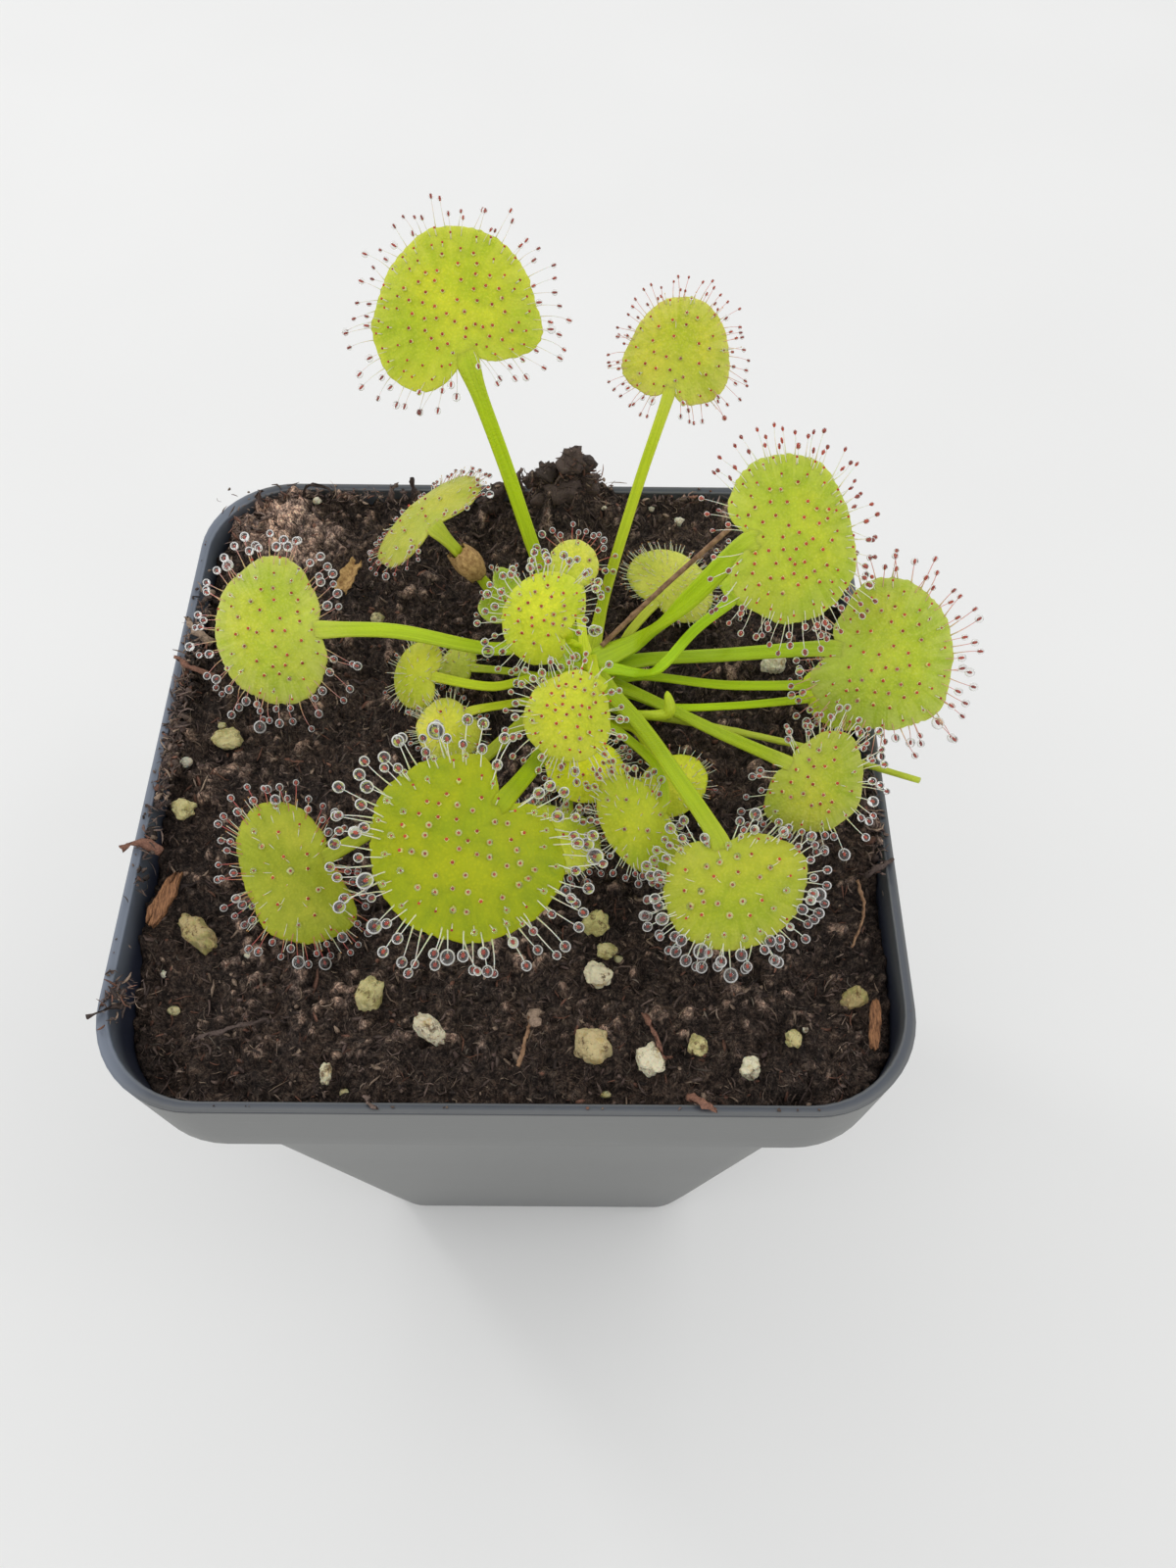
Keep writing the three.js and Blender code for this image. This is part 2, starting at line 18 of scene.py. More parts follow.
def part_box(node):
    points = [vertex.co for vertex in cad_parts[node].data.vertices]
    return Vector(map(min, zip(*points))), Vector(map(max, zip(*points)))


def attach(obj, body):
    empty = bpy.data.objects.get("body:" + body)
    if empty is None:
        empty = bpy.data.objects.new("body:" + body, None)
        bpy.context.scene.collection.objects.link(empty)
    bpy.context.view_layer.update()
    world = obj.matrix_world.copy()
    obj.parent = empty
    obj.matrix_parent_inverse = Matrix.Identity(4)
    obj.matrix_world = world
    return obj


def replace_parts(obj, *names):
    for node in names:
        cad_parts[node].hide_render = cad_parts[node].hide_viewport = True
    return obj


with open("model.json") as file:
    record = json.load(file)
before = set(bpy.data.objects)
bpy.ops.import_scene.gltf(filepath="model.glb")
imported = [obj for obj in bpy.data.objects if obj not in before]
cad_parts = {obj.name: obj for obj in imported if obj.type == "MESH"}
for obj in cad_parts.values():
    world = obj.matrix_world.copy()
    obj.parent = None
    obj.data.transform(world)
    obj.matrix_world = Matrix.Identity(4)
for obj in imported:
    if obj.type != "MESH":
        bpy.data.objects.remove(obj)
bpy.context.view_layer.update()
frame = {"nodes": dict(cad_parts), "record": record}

MM = 0.001
BODY = "root"

# ---------------------------------------------------------------- the CAD's driving dimensions

POT_HEIGHT = 110
POT_CORNER = 10.5 / 80  # corner radius as a share of the width
POT_RIM = 80
POT_BAND_FOOT = 96
POT_BAND_FOOT_WIDTH = 79.4
POT_BODY_TOP_WIDTH = 74
POT_BASE_WIDTH = 55
POT_WALL = 1
POT_FLOOR = 1.4
HOLE_RADIUS = 3
HOLE_SIDES = 32  # finer than the CAD's
HOLE_OFFSET = 16

SOIL_LEVEL = 107
SOIL_ROUGHNESS = 0.9
SOIL_EDGE_RISE = 1.2
Clump = namedtuple("Clump", "at reach rise")
CLUMPS = [
    Clump((4.4, 37.5), 5.5, 8.5),
    Clump((-14, 37), 3, 3),
    Clump((38, -8), 5, 3),
    Clump((-37, 6), 13, 2),
    Clump((-28, 37), 12, 2.4),
    Clump((22, 37), 15, 2.6),
    Clump((-34, -34), 10, -2),
]

CROWN = np.array([7.5, 10.8])
CROWN_TOP = 112.6
CROWN_RADIUS = 3.2
CROWN_TOP_SEAT = 1.2
PETIOLE_CLEAR = 0.4
PETIOLE_REACH_OUT = 2.6
PETIOLE_LIFT = 0.7
BLADE_THICKNESS = 0.8
NOTCH_SPREAD = 0.34
LOBE_AT = 2.3
LOBE_SPREAD = 0.55
JOIN_SPREAD = 0.5

# The leaves as in the CAD: middle of the blade, notch, the way it faces, its size across and along,
# how far its margin hangs, how unequal and how large its lobes are, where the petiole leaves the
# crown (degrees, height), the points it passes, and its width.
Leaf = namedtuple("Leaf", "name centre notch facing across along droop skew lobes seat via stalk")
LEAVES = [
    Leaf("leaf_back_tall", (-6.7, 37.2, 138), (-5.3, 32.4, 135), (0.1, -0.8, 0.6), 18, 18, 1.2,
         -0.12, 0.05, (112, 110.2), [(1.6, 24.3, 114), (-1.9, 29.4, 124)], 1.9),
    Leaf("leaf_back_right", (17.6, 41, 130), (16.8, 37.8, 127.4), (-0.1, -0.75, 0.65), 12.6, 12.8, 0.9,
         0.1, 0.05, (78, 110), [(9.6, 20, 112.5), (13.5, 30, 121)], 1.5),
    Leaf("leaf_upper_right", (27.8, 11.3, 132.4), (23.4, 11.4, 131.4), (-0.2, -0.65, 0.75), 17, 13.4, 1.6,
         0.06, 0.16, (20, 112.2), [(18, 11.2, 122)], 2.2),
    Leaf("leaf_right", (38.4, 3.7, 122.4), (33, 5.6, 121.7), (-0.2, -0.55, 0.8), 15.8, 14.6, 1.6,
         0.1, 0.1, (8, 110.3), [(22.9, 10, 114.4)], 1.9),
    Leaf("leaf_lower_right", (30.7, -8.4, 118), (28, -6.2, 118), (-0.2, -0.5, 0.85), 12, 10, 1.1,
         0, 0.12, (-32, 110.1), [(22.6, 0.2, 113)], 1.6),
    Leaf("leaf_front_right", (21.2, -20.3, 118), (20.7, -15.9, 118.6), (-0.05, -0.25, 1), 16.4, 13, 2.2,
         0, 0.12, (-60, 112), [(13.2, 1.4, 113.5), (16.9, -8.3, 118)], 2),
    Leaf("leaf_front", (-3.5, -19.4, 124), (0.4, -14.2, 125), (0.1, -0.45, 0.9), 19.4, 17.6, 2,
         0, 0.06, (-121, 112), [(3.2, -3.7, 116.5)], 2),
    Leaf("leaf_front_left", (-21.9, -16.5, 112.5), (-17.7, -13.9, 112.6), (0.15, -0.4, 0.9), 14.8, 11.8,
         1.4, 0.08, 0.1, (-133, 110), [(-5.9, -4.4, 111.6), (-13.8, -11.4, 113)], 1.7),
    Leaf("leaf_left", (-26.5, 9.4, 119), (-21.3, 9.8, 118.6), (0.15, -0.5, 0.85), 16.4, 12.4, 1.8,
         0, 0.12, (168, 112.1), [(-3.5, 11.8, 112.8), (-13.9, 10.8, 117.2)], 1.8),
    Leaf("leaf_back_left", (-11.6, 27, 118.4), (-9.8, 23.4, 120), (-0.5, 0.13, 0.85), 14.6, 9.6, 1,
         0, 0.1, (133, 108.4), [(-3.4, 21.2, 111), (-6.6, 22.2, 116)], 1.7),
    Leaf("leaf_centre_upper", (2.8, 10, 121), (6, 8.3, 119.4), (-0.15, -0.5, 0.8), 10.4, 10, 1,
         0.05, 0.1, (150, 113), [(5.6, 10.2, 116.2)], 1.5),
    Leaf("leaf_centre", (5.8, -3.9, 123), (8.4, -0.9, 123), (0, -0.5, 0.85), 9, 9.8, 1.2,
         0, 0.06, (-70, 113), [(8.4, 4.2, 118.2)], 1.5),
    Leaf("leaf_centre_back", (5.9, 21.4, 116.2), (6.6, 19.4, 114.6), (0, -0.6, 0.8), 5.8, 5.8, 0.5,
         0, 0.05, (97, 112.3), [(6.9, 17, 113.6)], 1.2),
    Leaf("leaf_left_small", (-11.8, 9.2, 111.4), (-9.8, 8.7, 111.6), (-0.3, -0.4, 0.9), 7.8, 5.6, 0.7,
         0, 0.12, (-166, 110.2), [(-3, 7.4, 111.6)], 1.3),
    Leaf("leaf_left_low", (-7.9, 3, 109.4), (-5.8, 5.2, 109.6), (0.1, -0.4, 0.9), 7.2, 7, 0.8,
         0, 0.1, (-150, 108.3), [(-1, 6.6, 109.4)], 1.2),
    Leaf("leaf_back_low", (17.8, 23.6, 110.8), (15.6, 20.6, 110.3), (0, -0.35, 0.95), 11, 8.4, 0.8,
         0, 0.08, (48, 108.5), [(12.6, 16.6, 109.9)], 1.3),
    Leaf("leaf_front_centre", (12.9, -11.4, 114.4), (15.4, -9.8, 114.4), (0, -0.4, 0.9), 11.4, 7, 0.9,
         -0.1, 0.1, (-85, 110.2), [(11.6, 1, 111.6), (15.2, -4.6, 113.6)], 1.3),
    Leaf("leaf_old_front", (17, -4, 109.4), (15.2, -1.4, 109.8), (0, -0.3, 0.95), 8.4, 6.4, 0.6,
         0, 0.08, (-74, 108.3), [(13, 3, 109.8)], 1.2),
    Leaf("leaf_under_centre", (7.5, -4.4, 113.6), (8.2, -1.4, 114), (0.1, -0.4, 0.9), 8.6, 7.4, 0.8,
         0, 0.08, (-91, 112.1), [(8.2, 3.6, 112.8)], 1.3),
    Leaf("leaf_under_front", (4.8, -11.6, 111.6), (5.6, -8.2, 111.2), (0.1, -0.4, 0.9), 9, 8, 0.8,
         0, 0.08, (-104, 108.4), [(5.4, -1, 109.2)], 1.2),
    Leaf("leaf_behind_upper", (26, 17.2, 119.6), (23.4, 14.4, 118.4), (-0.1, -0.45, 0.9), 8, 7, 0.8,
         0, 0.08, (-20, 112.1), [(15.4, 7.4, 115.2), (19.4, 11, 117.6)], 1.4),
    Leaf("leaf_left_hidden", (-7.6, 12.4, 108.9), (-5.8, 11.8, 109), (0, -0.3, 0.95), 5, 4.4, 0.4,
         0, 0.08, (178, 108.4), [(-1, 11.2, 109.2)], 1.1),
    Leaf("leaf_under_right_a", (36.2, 4.8, 115.6), (33, 5.2, 115.4), (-0.1, -0.35, 0.9), 9, 7.8, 0.8,
         0, 0.08, (2, 108.4), [(23.1, 7.6, 112)], 1.3),
    Leaf("leaf_under_right_b", (35, 7.4, 110.8), (32.4, 6.6, 110.8), (-0.1, -0.3, 0.9), 6.6, 5.6, 0.6,
         0, 0.08, (-24, 108.3), [(16.4, 6.4, 109.4), (24, 6, 110.2)], 1.1),
    Leaf("leaf_young_pair", (-2.3, 17.9, 114.5), (-0.6, 16.5, 114), (-0.3, -0.2, 0.95), 6.4, 4.4, 0.3,
         0, 0.3, (150, 110.6), [], 1.2),
]

# The youngest leaf is two small scoops on one petiole.
SCOOPS = {"leaf_young_pair": [
    Leaf("leaf_young_upper", (-1.9, 18.9, 114.9), (-0.8, 17.0, 114.1), (0.5, -0.6, 0.6), 3.2, 4.4, -1.1,
         0, 0.05, None, None, None),
    Leaf("leaf_young_lower", (-3.2, 15.5, 114.9), (-1.1, 16.1, 114.1), (0.3, -0.3, 0.8), 3.4, 4.2, -1.0,
         0, 0.05, None, None, None),
]}

# Stalks without a blade: where they leave the crown, the points they pass, and their width. The dead
# one is straight, and its first point lies in the crown's top.
Stalk = namedtuple("Stalk", "name seat points width")
STALKS = [
    Stalk("dead_stalk", None, [(9.2, 12.7, 112.3), (16.1, 17.6, 116.8), (23.5, 22.4, 121.5)], 0.8),
    Stalk("bare_stalk", (-46, 108.2), [(18.6, 4.4, 109.4), (30.5, -0.6, 112.4), (41.5, -7.9, 117.4)], 0.9),
    Stalk("young_hook", (-60, 109.9), [(14.6, 3.3, 112.2), (16.6, 3.1, 113.2), (16.3, 4.6, 115)], 1.3),
]

# The outlines of the large blades. How far the margin lies from the middle, as a share of half the
# blade's size: in the notch, whose half width is spread radians, and every 30 degrees from -150
# past the tip to 150.
Outline = namedtuple("Outline", "notch spread lobes")
OUTLINES = {
    "leaf_back_tall": Outline(0.55, 0.4, (1, 1.08, 1.02, 0.96, 0.99, 1.07, 1.05, 1, 0.96, 1.03, 0.8)),
    "leaf_back_right": Outline(0.68, 0.25, (0.92, 1.05, 0.91, 0.88, 0.95, 1, 0.97, 0.92, 0.96, 1.05, 0.97)),
    "leaf_upper_right": Outline(0.58, 0.26, (1.05, 1.02, 0.95, 0.93, 0.87, 0.88, 0.99, 1, 1.02, 1.06, 1.12)),
    "leaf_right": Outline(0.7, 0.25, (0.9, 1.08, 1.07, 0.98, 0.92, 0.91, 1, 0.95, 0.94, 1.01, 1.12)),
    "leaf_lower_right": Outline(0.6, 0.25, (0.76, 0.91, 0.96, 0.9, 0.88, 0.98, 0.95, 0.9, 0.97, 1.06, 0.9)),
    "leaf_front_right": Outline(0.64, 0.3, (1, 1.1, 0.96, 0.9, 0.86, 0.9, 0.84, 0.78, 0.75, 0.79, 0.92)),
    "leaf_front": Outline(0.62, 0.28, (0.98, 1.03, 0.97, 0.93, 0.95, 0.97, 0.94, 0.93, 0.95, 0.97, 1.03)),
    "leaf_front_left": Outline(0.58, 0.25, (0.76, 1.1, 1.03, 1, 1.02, 0.87, 0.89, 1.03, 1.08, 1.02, 0.84)),
    "leaf_left": Outline(0.8, 0.25, (1.04, 1.05, 0.96, 0.93, 0.98, 1.01, 1.01, 0.99, 1.02, 0.98, 0.88)),
    "leaf_centre_upper": Outline(0.6, 0.3, (1, 1.03, 1, 0.9, 0.88, 0.84, 0.86, 0.93, 1, 1, 0.72)),
    "leaf_centre": Outline(0.95, 0.25, (0.98, 1.03, 1.06, 1.02, 0.96, 0.95, 0.95, 0.93, 0.95, 0.97, 1.12)),
}

# How red, green and blue each leaf is beside its plain material.
TONES = {
    "leaf_back_tall": (1.05, 1.0, 0.65), "leaf_back_right": (1.15, 1.0, 1.35),
    "leaf_upper_right": (0.95, 0.95, 0.9), "leaf_right": (0.95, 0.95, 1.25),
    "leaf_lower_right": (0.85, 0.8, 1.0), "leaf_front_right": (0.85, 0.8, 0.65),
    "leaf_front": (0.7, 0.7, 0.0), "leaf_front_left": (0.75, 0.75, 0.3),
    "leaf_left": (1.05, 1.0, 1.45), "leaf_back_left": (0.95, 0.85, 1.15),
    "leaf_centre_upper": (1.15, 1.15, 0.65), "leaf_centre": (1.05, 1.0, 0.65),
    "leaf_centre_back": (1.35, 1.25, 1.9), "leaf_left_small": (1.2, 1.05, 1.05),
    "leaf_left_low": (1.35, 1.15, 1.6), "leaf_back_low": (1.2, 1.15, 1.05),
    "leaf_front_centre": (1.0, 0.95, 0.5), "leaf_old_front": (1.2, 1.2, 0.35),
    "leaf_under_centre": (1.4, 1.35, 0.45), "leaf_under_front": (1.2, 1.15, 1.2),
    "leaf_behind_upper": (0.95, 1.05, 0.6), "leaf_left_hidden": (1.05, 1.1, 0.75),
    "leaf_under_right_a": (1.1, 1.1, 0.9), "leaf_under_right_b": (1.25, 1.3, 0.6),
    "leaf_young_pair": (0.85, 0.9, 1.2),
}
PLAIN_TONE = (1, 1, 1)

# ---------------------------------------------------------------- the tentacles of each leaf

# disc and rim: how many tentacles stand on the blade and in the outer row along its margin.
# reach: how long those of the margin are. drop: radius of their drops. disc_drop: radius of the drops
# on the blade. wet: the share of the tentacles on the blade with a drop. hue: colour of the stalks.
# gland: half the length and width of a gland on the margin. stalk: how thick those stalks are beside
# plain ones. hairs: short stalks without a drop. lean: how much larger the drops of the front side are.
PLAIN_STALK = 0.039  # half the thickness
Dress = namedtuple("Dress", "disc rim reach drop disc_drop wet hue gland stalk hairs lean")
DRESS = {
    "leaf_back_tall": Dress(92, 43, 2.9, 0.37, 0.21, 0.08, "wisp", (0.24, 0.08), 0.9, 0, 0.2),
    "leaf_back_right": Dress(36, 44, 2.3, 0.28, 0.22, 0.15, "blush", (0.16, 0.08), 0.9, 10, 0.2),
    "leaf_upper_right": Dress(80, 48, 2.9, 0.31, 0.19, 0.08, "milky", (0.26, 0.13), 1.2, 0, 0.3),
    "leaf_right": Dress(62, 38, 3.0, 0.44, 0.26, 0.4, "blush", (0.22, 0.1), 1.3, 0, 0.1),
    "leaf_lower_right": Dress(34, 28, 2.5, 0.4, 0.27, 0.4, "clear", (0.16, 0.1), 1.4, 10, 0.1),
    "leaf_front_right": Dress(40, 46, 2.3, 0.53, 0.34, 0.6, "milky", (0.16, 0.1), 1.5, 10, 0.1),
    "leaf_front": Dress(80, 46, 3.7, 0.57, 0.3, 0.7, "milky", (0.17, 0.12), 1.6, 0, -0.05),
    "leaf_front_left": Dress(24, 34, 2.5, 0.44, 0.36, 0.5, "pink", (0.16, 0.1), 1.2, 70, 0.0),
    "leaf_left": Dress(50, 38, 3.0, 0.48, 0.26, 0.45, "blush", (0.15, 0.09), 1.2, 0, -0.1),
    "leaf_back_left": Dress(16, 28, 1.6, 0.29, 0.27, 0.5, "pink", (0.14, 0.08), 1.0, 60, 0.0),
    "leaf_centre_upper": Dress(34, 26, 2.5, 0.46, 0.27, 0.3, "milky", (0.16, 0.1), 1.4, 26, 0.0),
    "leaf_centre": Dress(44, 22, 2.1, 0.39, 0.26, 0.2, "milky", (0.16, 0.1), 1.3, 30, 0.0),
    "leaf_centre_back": Dress(6, 16, 2.0, 0.44, 0.27, 0.6, "pink", (0.15, 0.1), 1.3, 10, 0.0),
    "leaf_left_small": Dress(0, 5, 1.4, 0.28, 0.16, 0, "clear", (0.14, 0.08), 1.0, 90, 0.0),
    "leaf_left_low": Dress(4, 9, 1.5, 0.31, 0.24, 0.5, "clear", (0.14, 0.08), 1.0, 80, 0.0),
    "leaf_back_low": Dress(0, 4, 1.4, 0.18, 0.16, 0, "clear", (0.12, 0.07), 1.0, 190, 0.0),
    "leaf_front_centre": Dress(10, 24, 1.8, 0.4, 0.27, 0.6, "milky", (0.15, 0.1), 1.3, 60, 0.0),
    "leaf_old_front": Dress(0, 5, 1.2, 0.18, 0.16, 0, "pink", (0.12, 0.07), 1.0, 80, 0.0),
    "leaf_under_centre": Dress(12, 24, 1.7, 0.35, 0.24, 0.5, "milky", (0.15, 0.1), 1.2, 40, 0.0),
    "leaf_under_front": Dress(6, 16, 1.6, 0.37, 0.24, 0.5, "clear", (0.15, 0.1), 1.2, 70, 0.0),
    "leaf_behind_upper": Dress(0, 8, 1.4, 0.28, 0.16, 0, "clear", (0.14, 0.08), 1.0, 30, 0.0),
    "leaf_left_hidden": Dress(0, 5, 1.2, 0.23, 0.16, 0, "clear", (0.14, 0.08), 1.0, 40, 0.0),
    "leaf_under_right_a": Dress(6, 18, 2.0, 0.4, 0.24, 0.5, "blush", (0.15, 0.1), 1.2, 20, 0.0),
    "leaf_under_right_b": Dress(0, 8, 1.4, 0.28, 0.16, 0, "pink", (0.14, 0.08), 1.0, 20, 0.0),
    "leaf_young_pair": Dress(0, 4, 1.0, 0.28, 0.16, 0, "clear", (0.14, 0.08), 1.0, 12, 0.0),
}

# How much broader than in the CAD a petiole is halfway, and where it spreads into the blade.
Spread = namedtuple("Spread", "half blade")
PLAIN_SPREAD = Spread(0.9, 1.1)
SPREADS = {
    "leaf_back_tall": Spread(0.95, 1.5), "leaf_upper_right": Spread(1.1, 1.0), "leaf_left": Spread(1.0, 1.2),
    "leaf_front_right": Spread(0.92, 1.15), "leaf_back_left": Spread(0.95, 1.4),
}

# ---------------------------------------------------------------- what lies on the soil

# Chips and twigs in the place of the CAD's. Of a chip: the middle, length and width, bearing and how
# far an end rises in degrees, how far its sides curl up, and thickness. Of a twig: its two ends, width,
# and how far its middle lies to the right of the straight line.
Chip = namedtuple("Chip", "name at size turn tilt bow thick")
CHIPS = [
    Chip("bark_left", (-36.0, -17.8), (5.8, 1.7), 70, 4, 0.2, 0.5),
    Chip("bark_right", (36.2, -30.6), (5.0, 1.1), 84, 6, 0.3, 0.55),
    Chip("leaf_scrap", (-21.6, 25.4), (4.0, 2.0), 68, 12, 0.5, 0.16),
]
Twig = namedtuple("Twig", "name start end width bend")
TWIGS = [
    Twig("twig_front", (1.2, -35.0), (2.2, -29.8), 0.45, 0.1),
    Twig("twig_right", (36.0, -15.2), (34.6, -22.8), 0.34, 1.0),
]

# Small grit that the CAD leaves out: x, y, width, and 1 where it is tinted by algae.
Grit = namedtuple("Grit", "x y width mossy")
GRIT = [
    Grit(-37.0, -0.8, 1.5, 0), Grit(-33.6, 3.8, 1.1, 1), Grit(-27.5, -22.6, 0.8, 0),
    Grit(-35.9, -24.6, 0.9, 0), Grit(-34.5, -28.2, 1.3, 1), Grit(-16.0, -36.8, 1.1, 1),
    Grit(15.7, 37.6, 0.9, 0), Grit(19.1, 35.2, 1.4, 0), Grit(9.6, 35.1, 0.7, 0),
    Grit(11.1, -22.5, 1.0, 1), Grit(9.7, -36.9, 0.9, 1), Grit(29.6, -30.7, 0.7, 0),
    Grit(-15.8, 19.6, 1.1, 0), Grit(-26.7, 36.9, 1.2, 0), Grit(-18.2, 21.3, 1.9, 1),
]

# ---------------------------------------------------------------- small maths

FULL_TURN = 2 * math.pi


def unit(vectors):
    return vectors / np.linalg.norm(vectors, axis=-1, keepdims=True)


def bell(x):
    return np.exp(-np.square(x))


def box_of(node):
    """The lowest and highest corners of a CAD node, in mm."""
    return (np.array(corner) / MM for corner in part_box(node))


def turns_of(count):
    """count bearings, evenly all round."""
    return np.arange(count) * FULL_TURN / count


def seeded(name):
    """A random generator of the name's own, the same in each run."""
    return np.random.default_rng(zlib.crc32(name.encode()))


def across_to(tangents):
    """A unit vector across each tangent."""
    helper = np.where(np.abs(tangents[..., 2:]) < 0.9, [0.0, 0.0, 1.0], [1.0, 0.0, 0.0])
    return unit(np.cross(helper, tangents))


def smooth_path(points, steps):
    """The centripetal Catmull-Rom curve through points, as the CAD's, at even steps."""
    knots = np.array(points, float)
    knots = np.vstack([2 * knots[0] - knots[1], knots, 2 * knots[-1] - knots[-2]])
    share = np.linspace(0, 1, 16, endpoint=False)[:, None]
    curve = []
    for a, b, c, d in zip(knots, knots[1:], knots[2:], knots[3:]):
        ab, bc, cd = (np.linalg.norm(q - p) ** 0.5 for p, q in ((a, b), (b, c), (c, d)))
        start = ((b - a) / ab - (c - a) / (ab + bc) + (c - b) / bc) * bc
        end = ((c - b) / bc - (d - b) / (bc + cd) + (d - c) / cd) * bc
        curve.append(b + start * share + (3 * (c - b) - 2 * start - end) * share**2
                     + (2 * (b - c) + start + end) * share**3)
    curve = np.vstack([*curve, knots[-2]])
    run = np.r_[0, np.cumsum(np.linalg.norm(np.diff(curve, axis=0), axis=1))]
    even = np.linspace(0, run[-1], steps)
    return np.stack([np.interp(even, run, curve[:, axis]) for axis in range(3)], axis=1)


def noise_at(points, size, seed=0.0):
    """Smooth noise, from about -1 to 1, whose lumps are about size across."""
    return np.array([noise.noise(Vector(p) / size + Vector((seed, -seed, seed))) for p in points])


def spots_at(points, size):
    """How far each point is from the nearest of spots about size apart, in those sizes."""
    return np.array([noise.voronoi(Vector(p) / size)[0][0] for p in points])


# ---------------------------------------------------------------- mesh building


class Batch:
    """Points, faces and colours gathered for one mesh. tint is what the colours mean to the material.
    flow is a direction round the part and a run along it, which streaks follow."""

    def __init__(self):
        self.points, self.faces, self.tints, self.flows, self.count = [], [], [], [], 0

    def add(self, points, faces, tint=(1, 1, 1), flow=(0, 0, 0)):
        self.points.append(points)
        self.faces += [group + self.count for group in faces]
        self.tints.append(np.broadcast_to(tint, (len(points), 3)))
        self.flows.append(np.broadcast_to(flow, (len(points), 3)))
        self.count += len(points)

    def piece(self, name, slot, finish=None, tone=None):
        """The mesh as an object, in its slot's material if no other finish is given. A leaf's has a
        tone of its own, and streaks that follow the flow."""
        mesh = bpy.data.meshes.new(name)
        faces = [face for group in self.faces for face in group.tolist()]
        mesh.from_pydata((np.vstack(self.points) * MM).tolist(), [], faces)
        mesh.polygons.foreach_set("use_smooth", [True] * len(mesh.polygons))
        self.paint(mesh, "tint", self.tints)
        if tone:
            self.paint(mesh, "flow", self.flows)
            self.paint(mesh, "tone", [np.broadcast_to(tone, (self.count, 3))])
        mesh.materials.append(finish or FINISHES[slot])
        mesh.update()
        made = bpy.data.objects.new(name, mesh)
        bpy.context.scene.collection.objects.link(made)
        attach(made, BODY)
        return made

    def paint(self, mesh, name, values):
        layer = mesh.color_attributes.new(name, "FLOAT_COLOR", "POINT")
        rgba = np.ones((self.count, 4), np.float32)
        rgba[:, :3] = np.vstack(values)
        layer.data.foreach_set("color", rgba.ravel())


def ring_faces(grid, ends=True):
    """Quads between the rings of a (tubes, rings, sides) grid of indices, and its two ends."""
    low, high = grid[:, :-1], grid[:, 1:]
    quads = np.stack([low, np.roll(low, -1, 2), np.roll(high, -1, 2), high], -1).reshape(-1, 4)
    if not ends:
        return [quads]
    sides = grid.shape[2]
    return [quads, grid[:, 0, ::-1].reshape(-1, sides), grid[:, -1].reshape(-1, sides)]


def tubes(paths, radii, sides, flat=1.0, roll=0.0):
    """Closed tubes along many paths at once: paths is (tubes, steps, 3), radii (tubes, steps). flat
    is their thickness as a share of their width, and roll turns them about their paths."""
    count, steps, _ = paths.shape
    tangents = unit(np.gradient(paths, axis=1))
    turns = turns_of(sides)
    cosine, sine = np.cos(turns)[:, None], flat * np.sin(turns)[:, None]
    side = across_to(tangents[:, 0])
    roll = np.broadcast_to(roll, count)[:, None]
    side = np.cos(roll) * side + np.sin(roll) * np.cross(tangents[:, 0], side)
    rings = np.empty((count, steps, sides, 3))
    for step in range(steps):
        tangent = tangents[:, step]
        side = unit(side - tangent * np.sum(side * tangent, axis=1, keepdims=True))
        other = np.cross(tangent, side)
        around = cosine * side[:, None] + sine * other[:, None]
        rings[:, step] = paths[:, step, None] + radii[:, step, None, None] * around
    grid = np.arange(count * steps * sides).reshape(count, steps, sides)
    return rings.reshape(-1, 3), ring_faces(grid)


def balls(centres, axes, lengths, widths, around, rings):
    """Closed ellipsoids. axes are their long directions, lengths and widths their half sizes."""
    count = len(centres)
    side = across_to(axes)
    other = np.cross(axes, side)
    turns = turns_of(around)
    tilt = np.arange(1, rings) * math.pi / rings
    radial = np.cos(turns)[:, None] * side[:, None] + np.sin(turns)[:, None] * other[:, None]
    body = (np.sin(tilt)[:, None, None] * radial[:, None] * widths[:, None, None, None]
            - np.cos(tilt)[:, None, None] * (axes * lengths[:, None])[:, None, None])
    poles = np.stack([-axes, axes], 1) * lengths[:, None, None]
    points = np.concatenate([body.reshape(count, -1, 3), poles], axis=1) + centres[:, None]
    size = points.shape[1]
    start = (np.arange(count) * size)[:, None, None]
    grid = np.arange((rings - 1) * around).reshape(1, rings - 1, around) + start
    foot, top = ((start[:, :, 0] + size - back).repeat(around, 1) for back in (2, 1))
    first, last = grid[:, 0], grid[:, -1]
    foot_faces = np.stack([foot, np.roll(first, -1, 1), first], -1).reshape(-1, 3)
    top_faces = np.stack([top, last, np.roll(last, -1, 1)], -1).reshape(-1, 3)
    return points.reshape(-1, 3), [*ring_faces(grid, ends=False), foot_faces, top_faces]


# ---------------------------------------------------------------- materials


def rgb(red, green, blue):
    """A colour as a screen shows it, from 0 to 255, in the linear numbers that Blender takes."""
    return tuple((c / 255 / 12.92) if c < 11 else ((c / 255 + 0.055) / 1.055) ** 2.4
                 for c in (red, green, blue))


